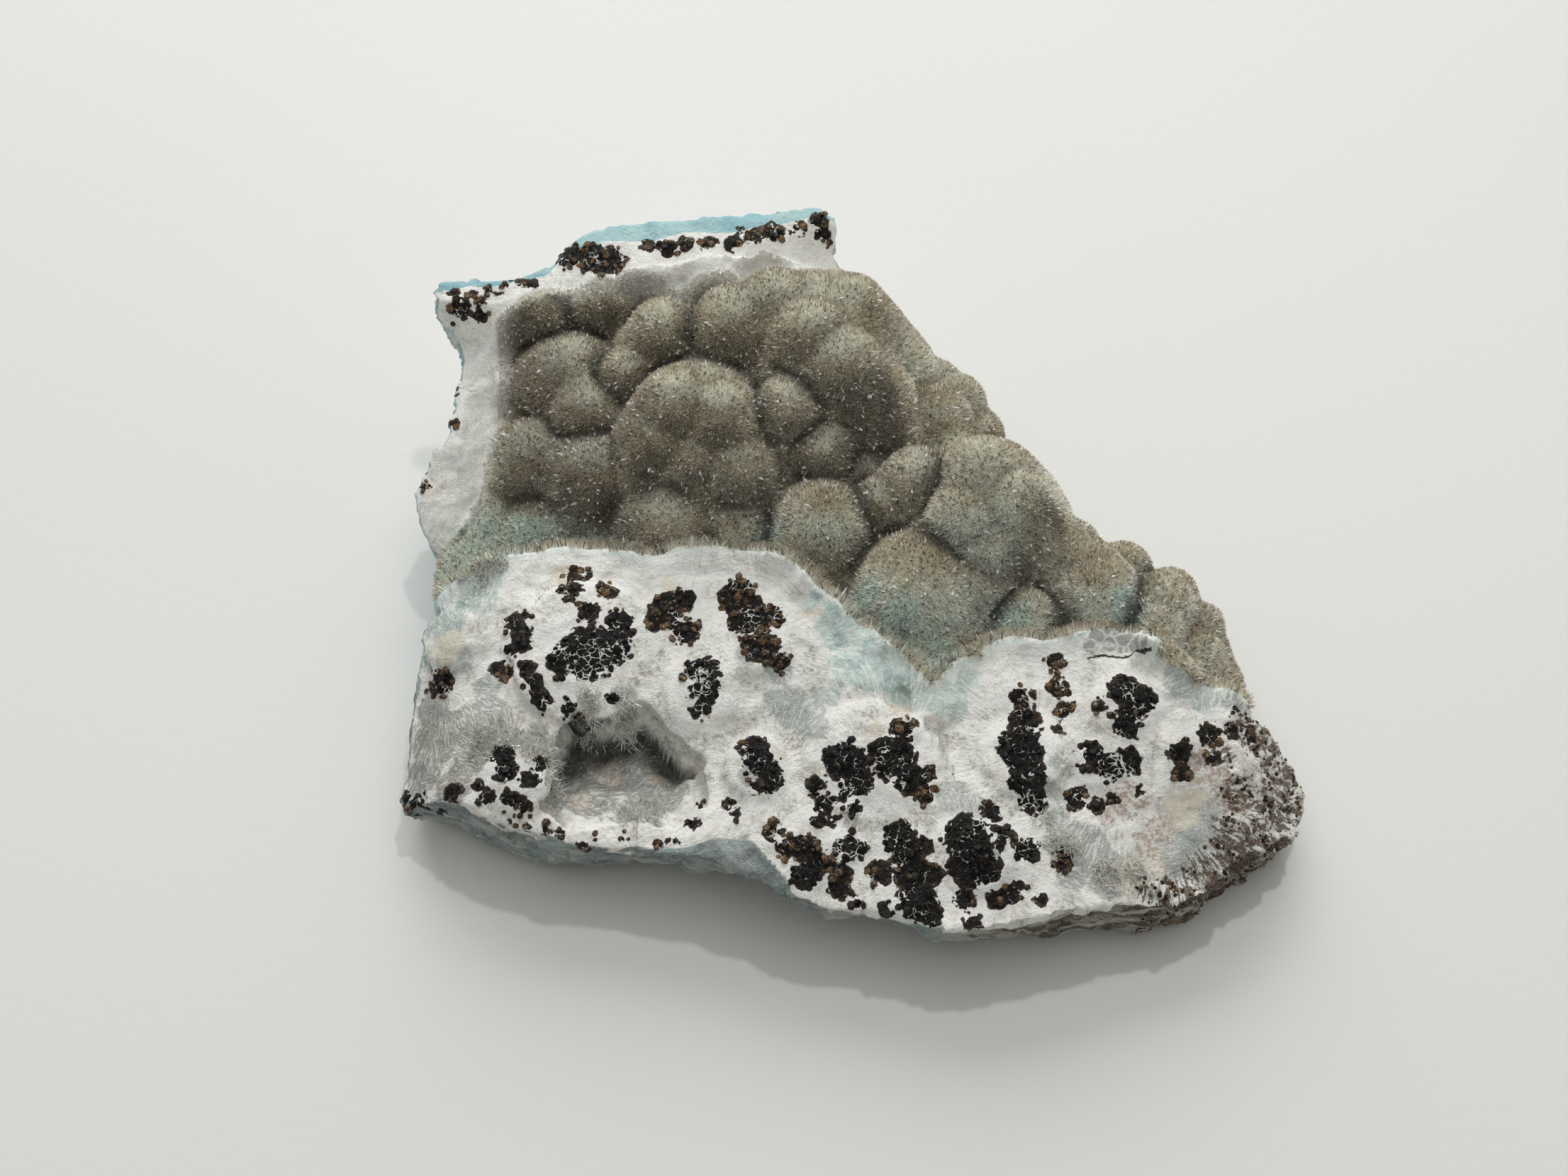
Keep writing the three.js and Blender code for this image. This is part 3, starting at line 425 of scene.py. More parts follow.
def dome_creases(places):
    """1 where two lobes of the crust meet, fading over about 2 mm, and less where domes of one lobe meet."""
    table = np.array(domes + ledge_lobes)
    lobe = np.linalg.norm(table[:, None, :2] - lobe_middles[None], axis=2).argmin(1)
    crease = np.zeros(len(places))
    at_once = 20000
    for start in range(0, len(places), at_once):
        some = slice(start, start + at_once)
        away = places[some, None] - table[None, :, :3]
        far = np.linalg.norm(away, axis=2)
        out = far - table[None, :, 3]
        order = np.argsort(out, axis=1)[:, :2]
        rows = np.arange(len(order))
        first, second = order[:, 0], order[:, 1]
        both_far = far[rows, first] * far[rows, second]
        meeting = (away[rows, first] * away[rows, second]).sum(1) / both_far
        step = out[rows, second] - out[rows, first]
        parted = np.where(lobe[first] == lobe[second], 0.2, 0.85)
        fading = 0.6 * ease(step, 2.4, 0.0) + 0.4 * ease(step, 0.8, 0.0)
        crease[some] = parted * fading * ease(meeting, 0.97, 0.6) * ease(out[rows, first], 1.2, 0.6)
    return crease


def chipped(points, size, seed):
    """Relief of a hackly break, about -1 to 1: flat chips of the given size, each with a tilt of its own."""
    shift = noise_start(seed)
    heights = np.empty(len(points))
    for i, p in enumerate(points):
        place = Vector(p) / size + shift
        middle = noise.voronoi(place)[1][0]
        tilt = noise.cell_vector(middle * 13) - Vector((0.5, 0.5, 0.5))
        heights[i] = 2 * (place - middle).dot(tilt) + noise.cell(middle * 29) - 0.5
    return heights


# ---- the stone's surface ----------------------------------------------------------------------------

def grown_copy(node, amount):
    """A bmesh of a CAD node, merged and grown along its normals."""
    shape = bmesh.new()
    shape.from_mesh(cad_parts[node].data)
    bmesh.ops.remove_doubles(shape, verts=shape.verts, dist=1e-6)
    shape.normal_update()
    for vert in shape.verts:
        vert.co += vert.normal * amount
    return shape


def drop(tree, x, y):
    """Point and normal of a surface straight below (x, y), in metres."""
    point, normal, _, _ = tree.ray_cast(Vector((x * MM, y * MM, 0.05)), Vector((0, 0, -1)))
    return point, normal


def add_ball(shape, centre, radius, detail):
    place = Matrix.Translation(centre)
    bmesh.ops.create_icosphere(shape, subdivisions=detail, radius=radius, matrix=place)


def stone_mesh(rock, crust, rock_tree):
    """Rock, crust, nodules, domes and the lumps of the hollow, joined into one closed skin."""
    joined = rock.copy()
    extra = mesh_of(crust, "extra")
    joined.from_mesh(extra)
    bpy.data.meshes.remove(extra)
    for x, y, radius, stand in hollow_lumps:
        low, _ = drop(rock_tree, x, y)
        add_ball(joined, Vector((x * MM, y * MM, low.z + (stand - radius) * MM)), radius * MM, 3)
    for x, y, radius, rise in proud_nodules:
        face, slope = drop(rock_tree, x, y)
        size = (radius * MM, radius * MM, 2 * rise * MM)
        flat = Matrix.LocRotScale(face, slope.to_track_quat("Z", "Y"), size)
        bmesh.ops.create_icosphere(joined, subdivisions=4, radius=1, matrix=flat)
    for x, y, z, radius in domes + ledge_lobes:
        add_ball(joined, Vector((x, y, z)) * MM, (radius + CLOSE) * MM, 4)
    piece = bpy.data.objects.new("stone", mesh_of(joined, "stone"))
    joined.free()
    add_to_scene(piece)
    voxels = piece.modifiers.new("voxels", "REMESH")
    voxels.mode = "VOXEL"
    voxels.voxel_size = VOXEL * MM
    soften = piece.modifiers.new("soften", "SMOOTH")
    soften.factor = 0.5
    soften.iterations = SMOOTH_ROUNDS
    softened = piece.evaluated_get(bpy.context.evaluated_depsgraph_get())
    made = bpy.data.meshes.new_from_object(softened)
    bpy.data.objects.remove(piece)
    return made


def largest_part(mesh):
    """Leaves out the faces of closed pockets inside the stone."""
    shape = bmesh.new()
    shape.from_mesh(mesh)
    shape.verts.ensure_lookup_table()
    unseen = set(shape.verts)
    parts = []
    while unseen:
        first = unseen.pop()
        part = [first]
        front = [first]
        while front:
            vert = front.pop()
            for edge in vert.link_edges:
                other = edge.other_vert(vert)
                if other in unseen:
                    unseen.discard(other)
                    part.append(other)
                    front.append(other)
        parts.append(part)
    parts.sort(key=len)
    for part in parts[:-1]:
        bmesh.ops.delete(shape, geom=part, context="VERTS")
    shape.to_mesh(mesh)
    shape.free()
    return mesh


rock_shape = grown_copy("matrix", CLOSE * MM)
crust_shape = grown_copy("druse_crust", CLOSE * MM)
stone = largest_part(stone_mesh(rock_shape, crust_shape, BVHTree.FromBMesh(rock_shape)))

points = rows_of_three(stone.vertices, "co") / MM
normals = rows_of_three(stone.vertex_normals, "vector")

links = np.empty(len(stone.edges) * 2, np.int32)
stone.edges.foreach_get("vertices", links)
links = links.reshape(-1, 2)
link_count = np.maximum(np.bincount(links.ravel(), minlength=len(points)), 1)


def spread(values, rounds, share=1.0):
    """Averages the values over the neighbours on the stone, where share is above 0."""
    for _ in range(rounds):
        total = np.bincount(links[:, 0], values[links[:, 1]], len(values))
        total += np.bincount(links[:, 1], values[links[:, 0]], len(values))
        values = values + 0.5 * share * (total / link_count - values)
    return values


# The velvet grows on what lies on the CAD crust inside the crystals' area.
crust_tree = BVHTree.FromBMesh(crust_shape)
near_crust = np.zeros(len(points))
for i, (point, normal) in enumerate(zip(points * MM, normals)):
    if normal[2] > -0.6 and crust_tree.find_nearest(Vector(point), CRUST_REACH * MM)[0] is not None:
        near_crust[i] = 1
area_edge = inside(points, velvet_area) + 0.35 * rough(points, 1.2, 11)
velvet = spread(near_crust * (area_edge > 0), 2)

for axis in range(3):
    points[:, axis] = spread(points[:, axis], DOME_ROUNDS, velvet)
normals = move_to(stone, points)

# Distance from the crystals' edge over the bare rock.
crystal_places = points[velvet > 0.5]
tree = KDTree(len(crystal_places))
for i, point in enumerate(crystal_places):
    tree.insert(point, i)
tree.balance()
depth = np.zeros(len(points))
for i in np.flatnonzero(velvet < 0.5):
    depth[i] = tree.find(points[i])[2]

# Fine relief: hackly on the sides and the brown end, finer on the break, gently lumpy under the crystals.
end_gap, _ = patch_gap(points, brown_end)
bare = 1 - velvet
hackly = bare * np.maximum(ease(-normals[:, 2], -0.55, -0.2), ease(-end_gap, -0.8, 0.6))
relief = 0.13 * rough(points, 3.2, 3) + 0.05 * rough(points, 0.9, 2)
large_chips = (0.09 * bare + 0.18 * hackly) * chipped(points, 2.4, 4)
small_chips = (0.08 * bare + 0.08 * hackly) * chipped(points, 1.0, 6)
relief += large_chips + small_chips
creases = np.zeros(len(points))
crusted = velvet > 0.05
creases[crusted] = dome_creases(points[crusted])
relief -= CREASE_DEPTH * creases * velvet
points += normals * relief[:, None]
deep_edge = inside(points, deep_hollow) + 0.3 * rough(points, 0.9, 14) + 0.25 * rough(points, 2.2, 15)
sunk = ease(deep_edge, 0, 0.45) * (normals[:, 2] > 0) * (points[:, 2] > 4)
points[:, 2] -= HOLLOW_DEPTH * sunk * ease(points[:, 1], -22.5, -18.5)
points[:, 2] = np.maximum(points[:, 2], 0)
normals = move_to(stone, points)
faces = np.array([tuple(face.vertices) for face in stone.polygons])
stone_tree = BVHTree.FromPolygons([Vector(p) for p in points * MM], faces.tolist())

# Distance to the goethite knots, and the direction in which the fibres run.
knots = []
for x, y, radius, brown in goethite_knots:
    place, _ = drop(stone_tree, x, y)
    if place is not None:
        knots.append((place.x / MM, place.y / MM, place.z / MM, radius, brown))
knots = np.array(knots + corner_lump)
knot_gap = np.full(len(points), FAR)
for x, y, z, radius, _ in knots:
    knot_gap = np.minimum(knot_gap, np.linalg.norm(points - (x, y, z), axis=1) - radius)

middles = np.array(nodule_middles, float)
spans = np.linalg.norm(points[:, None] - middles[None], axis=2)
reach = spans.min(1)
seam = np.partition(spans, 1, axis=1)[:, 1] - reach
fibre = (points - middles[spans.argmin(1)]) / np.maximum(reach, 0.1)[:, None]

# How much of the outer layers shows: behind the turquoise line, on the left wall, below the edge of the
# break, and underneath.
turquoise_y = np.interp(points[:, 0], *np.array(turquoise_line).T)
back = ease(points[:, 1] - turquoise_y + 0.4 * rough(points, 2.5, 5), -0.25, 0.25)
wall = ease(-points[:, 0] - 34, 0, 1) * ease(-normals[:, 0], 0.6, 0.85)
under = ease(-normals[:, 2], 0.2, 0.6)
facing_front = ease(-normals[:, 1], 0.45, 0.75) * ease(7.5 - points[:, 2], 0, 1)
front_y = np.interp(points[:, 0], *np.array(front_line).T)
below_front = ease(front_y - points[:, 1] + 0.35 * rough(points, 1.4, 17), -0.2, 0.2) * (points[:, 0] < 8)
facing_front = np.maximum(facing_front, below_front)
layer = np.clip(np.maximum(np.maximum(back, 0.7 * wall), np.maximum(facing_front, 0.45 * under)), 0, 1)


def brown_share(places, directions):
    """How brown the velvet is: most on the flanks of the domes and the backs of those with clear fronts."""
    uneven = 0.05 * rough(places, 0.8, 8)
    flank = 0.12 + 0.7 * ease(directions[:, 2] + uneven, 1.0, 0.74)
    back_side = 0.9 * ease(0.5 * directions[:, 1] + 0.87 * directions[:, 2] + 1.5 * uneven, 0.45, 0.88)
    share = flank + patch_mask(places, clear_fronts) * (back_side - flank)
    region = 0.95 + 0.4 * rough(places, 6.0, 9) - 0.5 * patch_mask(places, clear_hollows)
    region += 0.25 * patch_mask(places, browner_shaded_lobes)
    return share * np.clip(region, 0.2, 1)


def pale_haze(places, edge):
    """How far the velvet turns white beside the back and left rims."""
    back_haze = ease(edge, 2.2, 0.3) * ease(places[:, 1], 22.5, 25)
    left_haze = ease(edge, 2.0, 0.2) * ease(places[:, 0], -27, -30) * ease(places[:, 1], 3, 7)
    return np.maximum(back_haze, left_haze)


# Painted shade on the crust: dark in the valleys between its lobes, in its low places and creases, and under
# its steep fronts.
near_height = spread(points[:, 2], 34)
wide_height = spread(near_height, 240)
fronts = patch_mask(points, clear_fronts)
low_places = 0.9 * ease(wide_height - points[:, 2], 0.4, 2.6)
painted_shade = np.maximum(ease(near_height - points[:, 2], 0.1, 0.9), low_places) * (1 - 0.55 * fronts)
hanging = 0.45 * ease(-normals[:, 1], 0.55, 0.95) * (1 - fronts)
darkest = 0.85 * spread(patch_mask(points, crease_shade_spots) * ease(near_height - points[:, 2], -0.8, 0.4), 8)
painted_shade = np.maximum(np.maximum(painted_shade, hanging), np.maximum(creases, darkest))
# painted shade on the browner lobes as well
painted_shade = np.maximum(painted_shade, 0.28 * patch_mask(points, browner_shaded_lobes))
facing_up = normals[:, 2] > -0.1

clear_gap, clear_kind = patch_gap(points, clear_patches)
cream_gap, cream_kind = patch_gap(points, cream_patches)
tile_gap, _ = patch_gap(points, tiled_patch)

# What the stone's material reads at each vertex.
haze = pale_haze(points, area_edge)
crack_y = np.interp(points[:, 0], *np.array(crack_line).T, left=-99, right=-99)
shaded = ease(deep_edge, -0.05, 0.3) * ease(deep_edge, 3.4, 0.9) * ease(points[:, 1], -21.5, -18.5)

for name, values in {
    "velvet": velvet,
    "depth": depth,
    "knot_gap": knot_gap,
    "reach": reach,
    "seam": seam,
    "clear_gap": np.where(facing_up, clear_gap, FAR),
    "clear_green": clear_kind[:, 0],
    "clear_dark": clear_kind[:, 1],
    "cream_gap": np.where(facing_up, cream_gap, FAR),
    "cream_pink": cream_kind[:, 0],
    "end_gap": end_gap,
    "tile_gap": tile_gap,
    "layer": layer,
    "brown": brown_share(points, normals) * (1 - 0.85 * haze),
    "haze": haze,
    "crack": points[:, 1] - crack_y,
    "painted_shade": painted_shade,
    "net": patch_mask(points, netted_knots),
    "teal": patch_mask(points, teal_hollows),
    "shade": shaded,
}.items():
    keep(stone, name, values)
keep_vector(stone, "fibre", fibre)

# The streaks of the brown end run out from this place.
end_way = points - (24.5, -22, 8)
end_far = np.linalg.norm(end_way, axis=1)
keep_vector(stone, "end_ray", end_way / end_far[:, None] * 20 + end_far[:, None] * (0.45, 0, 0))


# ---- materials --------------------------------------------------------------------------------------

class Finish:
    """A material with short ways to add the nodes it needs. Lengths of patterns are in millimetres."""

    def __init__(self, name):
        self.material = bpy.data.materials.new(name)
        self.material.use_nodes = True
        self.tree = self.material.node_tree
        self.surface = self.tree.nodes["Principled BSDF"]
        coordinate = self.tree.nodes.new("ShaderNodeTexCoord")
        scale = self.add("ShaderNodeMapping")
        scale.inputs["Scale"].default_value = (1 / MM, 1 / MM, 1 / MM)
        self.link(coordinate.outputs["Object"], scale.inputs["Vector"])
        self.place = scale.outputs["Vector"]

    def add(self, kind):
        return self.tree.nodes.new(kind)

    def link(self, start, end):
        self.tree.links.new(start, end)

    def put(self, value, socket):
        if isinstance(value, bpy.types.NodeSocket):
            self.link(value, socket)
        elif socket.type == "RGBA":
            socket.default_value = (*value, 1)
        else:
            socket.default_value = value

    def read(self, name, vector=False):
        node = self.add("ShaderNodeAttribute")
        node.attribute_name = name
        return node.outputs["Vector" if vector else "Fac"]

    def math(self, operation, *values):
        node = self.add("ShaderNodeMath")
        node.operation = operation
        for value, socket in zip(values, node.inputs):
            self.put(value, socket)
        return node.outputs["Value"]

    def chain(self, operation, values):
        total = values[0]
        for value in values[1:]:
            total = self.math(operation, total, value)
        return total

    def plus(self, *values):
        return self.chain("ADD", values)

    def times(self, *values):
        return self.chain("MULTIPLY", values)

    def most(self, *values):
        return self.chain("MAXIMUM", values)

    def other(self, value):
        """What is left of 1."""
        return self.math("SUBTRACT", 1.0, value)

    def uneven(self, value, pattern, amount):
        """A value that a pattern makes uneven."""
        return self.plus(value, self.times(pattern, amount))

    def vector(self, operation, *values):
        node = self.add("ShaderNodeVectorMath")
        node.operation = operation
        for value, socket in zip(values, node.inputs):
            self.put(value, socket)
        return node.outputs["Vector"]

    def scaled(self, vector, factor):
        node = self.add("ShaderNodeVectorMath")
        node.operation = "SCALE"
        self.put(vector, node.inputs[0])
        self.put(factor, node.inputs["Scale"])
        return node.outputs["Vector"]

    def joined(self, x, y, z):
        node = self.add("ShaderNodeCombineXYZ")
        for value, socket in zip((x, y, z), node.inputs):
            self.put(value, socket)
        return node.outputs["Vector"]

    def axes(self):
        """The x, y and z of each place."""
        node = self.add("ShaderNodeSeparateXYZ")
        self.link(self.place, node.inputs["Vector"])
        return tuple(node.outputs)

    def noise(self, size, detail, roughness=0.55, place=None):
        node = self.add("ShaderNodeTexNoise")
        self.put(self.place if place is None else place, node.inputs["Vector"])
        node.inputs["Scale"].default_value = 1 / size
        node.inputs["Detail"].default_value = detail
        node.inputs["Roughness"].default_value = roughness
        return node.outputs["Fac"]

    def wander(self, size, amount):
        """Places shifted to and fro by smooth noise."""
        node = self.add("ShaderNodeTexNoise")
        self.link(self.place, node.inputs["Vector"])
        node.inputs["Scale"].default_value = 1 / size
        shift = self.vector("SUBTRACT", node.outputs["Color"], (0.5, 0.5, 0.5))
        return self.vector("ADD", self.place, self.scaled(shift, amount))

    def cells(self, size, place, feature="F1"):
        """Distance to the middles of cells, or to their edges."""
        node = self.add("ShaderNodeTexVoronoi")
        node.feature = feature
        self.link(place, node.inputs["Vector"])
        node.inputs["Scale"].default_value = 1 / size
        return node.outputs["Distance"]

    def step(self, value, start, end, low=0.0, high=1.0):
        """A soft step: low where the value is at the start, high where it is at the end."""
        node = self.add("ShaderNodeMapRange")
        node.interpolation_type = "SMOOTHSTEP"
        self.put(value, node.inputs["Value"])
        node.inputs["From Min"].default_value = start
        node.inputs["From Max"].default_value = end
        node.inputs["To Min"].default_value = low
        node.inputs["To Max"].default_value = high
        return node.outputs["Result"]

    def blend(self, share, under, over):
        """A colour that goes from one to another as the share goes from 0 to 1."""
        node = self.add("ShaderNodeMix")
        node.data_type = "RGBA"
        share_socket, under_socket, over_socket = (node.inputs[k] for k in (0, 6, 7))
        self.put(share, share_socket)
        self.put(under, under_socket)
        self.put(over, over_socket)
        return node.outputs[2]

    def bump(self, height, distance, strength):
        node = self.add("ShaderNodeBump")
        self.put(height, node.inputs["Height"])
        node.inputs["Distance"].default_value = distance * MM
        node.inputs["Strength"].default_value = strength
        return node.outputs["Normal"]

    def set(self, **values):
        """Sets or links the surface's own sockets, and returns the material."""
        for name, value in values.items():
            self.put(value, self.surface.inputs[name.replace("_", " ")])
        return self.material


# Colours of the broken rock.
WHITE = (0.99, 0.985, 0.93)
MILK = (0.82, 0.815, 0.755)
GREY = (0.45, 0.435, 0.38)
OCHRE = (0.76, 0.70, 0.57)
ARC_GREY = (0.66, 0.70, 0.65)
PALE_TEAL = (0.74, 0.88, 0.83)
TEAL = (0.44, 0.60, 0.56)
CLEAR = (0.54, 0.555, 0.52)
SMOKE = (0.20, 0.18, 0.145)
JOINT = (0.72, 0.73, 0.67)
TILE = (0.40, 0.42, 0.38)
CRACK = (0.05, 0.045, 0.035)
CREAM = (0.90, 0.84, 0.68)
PINK = (0.46, 0.31, 0.22)
RIM_CREAM = (0.90, 0.88, 0.80)
RIM_WHITE = (1.0, 0.995, 0.95)
HOLLOW_SHADE = (0.06, 0.053, 0.038)
PAINTED_GLINT = (0.99, 0.99, 0.97)

# Colours of its outer layers.
TURQUOISE = (0.29, 0.56, 0.61)
PALE_TURQUOISE = (0.47, 0.69, 0.70)
SLATE = (0.19, 0.215, 0.21)
PALE_SLATE = (0.27, 0.30, 0.285)
LOW_TEAL = (0.36, 0.46, 0.44)
LOW_GREY = (0.50, 0.50, 0.47)
EDGE_BLACK = (0.10, 0.09, 0.07)

# Browns and blacks of the goethite and the streaked end.
BROWN = (0.085, 0.055, 0.038)
STREAK_BROWN = (0.20, 0.14, 0.09)
STAIN_BROWN = (0.085, 0.055, 0.035)
BLACK = (0.008, 0.007, 0.006)
GRAIN_BLACK = (0.004, 0.0035, 0.0035)
GRAIN_DARK = (0.036, 0.023, 0.016)
GRAIN_WARM = (0.24, 0.14, 0.062)
GRAIN_DUST = (0.62, 0.55, 0.40)

# Colours of the crust, the crystals on it and the white crystals, with near black for painted shade and white
# for painted glints.
SKIN_PALE = (0.58, 0.58, 0.47)
SKIN_TEAL = (0.50, 0.60, 0.53)
SKIN_BROWN = (0.28, 0.215, 0.125)
SKIN_SHADE = (0.035, 0.031, 0.020)
CRYSTAL_CLEAR = (0.92, 0.91, 0.78)
CRYSTAL_TEAL = (0.84, 0.95, 0.87)
CRYSTAL_BROWN = (0.45, 0.34, 0.195)
CRYSTAL_SHADE = (0.044, 0.040, 0.028)
CRYSTAL_WHITE_AND_GLINT = (0.97, 0.96, 0.92)
SPRAY_WHITE = (0.86, 0.85, 0.79)
SPRAY_GREY = (0.62, 0.63, 0.58)

# Colours of the floor.
FLOOR_LIGHT = (0.80, 0.80, 0.77)
FLOOR_DARK = (0.77, 0.77, 0.74)


def stone_finish():
    """The rock from the inside out, and the skin that the crystals stand on."""
    f = Finish("broken_stone")
    depth = f.read("depth")
    gap = f.read("knot_gap")
    along_fibres = f.joined(f.times(f.read("reach"), 0.4), f.noise(0.8, 3), 0.0)
    ray_place = f.vector("ADD", f.scaled(f.read("fibre", vector=True), 15), along_fibres)
    rays = f.noise(1.0, 4, 0.65, ray_place)
    fine_rays = f.noise(0.4, 3, 0.6, ray_place)
    blotch = f.noise(2.4, 5, 0.62)
    grain = f.noise(0.4, 4, 0.7)
    x, y, z = f.axes()

    # white fibres round the knots and under the crystals, milky and grey between
    near_knot = f.step(gap, 1.8, 0.5, 0.0, 0.16)
    under_crust = f.step(depth, 5.0, 2.5, 0.0, 0.16)
    seam = f.uneven(f.read("seam"), blotch, 1.4)
    rim = f.times(f.step(seam, 2.0, 0.9, 0.0, 0.16), f.step(depth, 3.0, 5.0))
    patches = f.times(f.step(blotch, 0.36, 0.64), 0.38)
    streaks = f.plus(f.times(f.step(rays, 0.36, 0.64), 0.24), f.times(f.step(fine_rays, 0.36, 0.64), 0.16))
    light = f.plus(patches, streaks, f.times(f.step(grain, 0.36, 0.64), 0.26), near_knot, under_crust)
    light = f.math("SUBTRACT", light, rim)
    colour = f.blend(f.step(light, 0.14, 0.44), GREY, MILK)
    colour = f.blend(f.step(light, 0.42, 0.72), colour, WHITE)
    colour = f.blend(f.step(f.noise(1.7, 5, 0.65), 0.56, 0.68, 0.0, 0.45), colour, OCHRE)

    # arcs that follow the crystals' edge
    wave = f.noise(0.7, 3)
    rings = f.noise(1.0, 3, 0.6, f.joined(f.plus(f.times(depth, 3.2), wave), 0.0, 0.0))
    arcs = f.times(f.step(rings, 0.50, 0.56), f.step(depth, 4.2, 2.6))
    colour = f.blend(f.times(arcs, 0.5), colour, ARC_GREY)
    clear_edge = f.step(f.uneven(depth, f.noise(1.6, 4), 1.6), 2.0, 1.2)
    edge_colour = f.blend(f.step(rings, 0.44, 0.54), PALE_TEAL, WHITE)
    colour = f.blend(f.times(clear_edge, 0.8), colour, edge_colour)

    # clear patches, with white fibres across them
    clear = f.step(f.uneven(f.read("clear_gap"), f.noise(1.3, 5, 0.65), 1.8), 1.1, 0.7)
    kind = f.blend(f.read("clear_green"), CLEAR, f.blend(f.step(blotch, 0.4, 0.6), TEAL, PALE_TEAL))
    kind = f.blend(f.read("clear_dark"), kind, SMOKE)
    kind = f.blend(f.times(f.step(f.uneven(fine_rays, rays, 0.5), 0.74, 0.86), 0.6), kind, WHITE)
    colour = f.blend(f.times(clear, 0.92), colour, kind)

    # tiles with white joints
    tiles = f.step(f.uneven(f.read("tile_gap"), wave, 0.6), 0.40, 0.25)
    joints = f.step(f.cells(1.15, f.wander(0.6, 0.5), "DISTANCE_TO_EDGE"), 0.02, 0.14)
    colour = f.blend(tiles, colour, f.blend(joints, JOINT, TILE))
    crack = f.math("ABSOLUTE", f.plus(f.uneven(f.read("crack"), f.noise(0.6, 3), 0.5), -0.25))
    colour = f.blend(f.step(crack, 0.13, 0.07), colour, CRACK)

    # cream and pinkish patches
    cream = f.step(f.uneven(f.read("cream_gap"), f.noise(0.8, 5, 0.7), 2.2), 1.3, 0.9)
    stained = f.blend(f.read("cream_pink"), CREAM, f.blend(f.step(grain, 0.42, 0.56), PINK, MILK))
    colour = f.blend(f.times(cream, 0.8), colour, stained)

    # whiter towards the back and left rims
    rear = f.times(f.step(y, 1.0, 6.0, 0.0, 0.75), f.step(z, 8.0, 12.0))
    colour = f.blend(rear, colour, f.blend(f.step(grain, 0.40, 0.52), RIM_CREAM, RIM_WHITE))

    # layered outside
    layers = f.noise(1.0, 4, 0.6, f.vector("MULTIPLY", f.place, (0.22, 0.22, 1.5)))
    layer_colour = f.blend(f.step(f.uneven(layers, grain, 0.4), 0.55, 0.85), TURQUOISE, PALE_TURQUOISE)
    slate = f.blend(f.step(blotch, 0.38, 0.62), SLATE, PALE_SLATE)
    low_pale = f.blend(f.step(blotch, 0.45, 0.6), LOW_TEAL, LOW_GREY)
    low_colour = f.blend(f.step(f.uneven(layers, grain, 0.3), 0.54, 0.80), slate, low_pale)
    low_edge = f.step(f.uneven(z, blotch, 1.6), 2.6, 1.9)
    low_colour = f.blend(f.times(low_edge, 0.7), low_colour, MILK)
    right_colour = f.blend(f.step(layers, 0.42, 0.60), EDGE_BLACK, GREY)
    low_colour = f.blend(f.step(x, 6.0, 12.0), low_colour, right_colour)
    layer_colour = f.blend(f.step(y, -8.0, -12.0), layer_colour, low_colour)
    layer = f.step(f.uneven(f.uneven(f.read("layer"), grain, 0.5), blotch, 0.5), 0.75, 1.1)
    colour = f.blend(layer, colour, layer_colour)

    # brown streaks of the gritty end
    end_streaks = f.noise(1.0, 5, 0.7, f.read("end_ray", vector=True))
    brown = f.step(f.uneven(f.most(f.read("end_gap"), -0.7), end_streaks, 7.0), 3.2, 2.7)
    brown_colour = f.blend(f.step(grain, 0.40, 0.60), BROWN, STREAK_BROWN)
    colour = f.blend(f.times(brown, 0.92), colour, brown_colour)

    # black stain under the knots, with white lines between the grains
    lobes = f.cells(0.78, f.wander(0.45, 0.45))
    netted = f.most(f.read("net"), f.step(f.noise(1.6, 3), 0.50, 0.58))
    stain = f.step(f.uneven(gap, lobes, f.uneven(0.55, netted, 0.7)), 0.36, 0.28)
    line_width = f.step(f.uneven(f.noise(1.1, 4, 0.7), netted, 0.14), 0.54, 0.72, 0.0, 0.065)
    edge_gap = f.cells(0.62, f.wander(0.5, 0.5), "DISTANCE_TO_EDGE")
    lines = f.step(f.math("SUBTRACT", edge_gap, line_width), 0.015, -0.01)
    stain = f.times(stain, f.other(f.times(lines, 0.85)))
    warm = f.step(f.uneven(gap, f.noise(0.4, 4, 0.7), 1.6), 0.45, 0.95)
    colour = f.blend(stain, colour, f.blend(f.times(warm, 0.7), BLACK, STAIN_BROWN))
    dots = f.times(f.step(f.noise(0.3, 2, 0.5), 0.735, 0.76), f.step(blotch, 0.45, 0.6))
    colour = f.blend(dots, colour, BROWN)

    # the darkest part of the front hollow
    colour = f.blend(f.times(f.read("shade"), 0.93), colour, HOLLOW_SHADE)

    # skin under the crystals, near black where shade is painted in the valleys
    skin = f.blend(f.read("brown"), f.blend(f.read("teal"), SKIN_PALE, SKIN_TEAL), SKIN_BROWN)
    skin = f.blend(f.times(f.read("painted_shade"), 0.9), skin, SKIN_SHADE)
    skin = f.blend(f.times(f.read("haze"), 0.8), skin, MILK)
    colour = f.blend(f.step(f.read("velvet"), 0.35, 0.65), colour, skin)

    # painted glints: small white specks that stand in for sparkle, and fine relief that fades where two
    # nodules meet
    painted_glints = f.step(f.noise(0.13, 2), 0.64, 0.68)
    colour = f.blend(f.times(painted_glints, f.step(gap, 0.2, 0.5), 0.7), colour, PAINTED_GLINT)
    whole = f.step(f.read("seam"), 0.1, 1.0)
    fibres = f.times(f.plus(f.times(rays, 0.5), f.times(fine_rays, 0.35), -0.42), whole)
    height = f.plus(fibres, f.times(grain, 0.8), f.times(f.noise(0.16, 3, 0.6), 0.3))
    height = f.plus(height, f.times(stain, f.other(lobes), 1.2))
    return f.set(
        Base_Color=colour,
        Roughness=f.step(grain, 0.3, 0.7, 0.28, 0.5),
        Specular_IOR_Level=0.16,
        Normal=f.bump(height, 0.22, 1.0),
    )


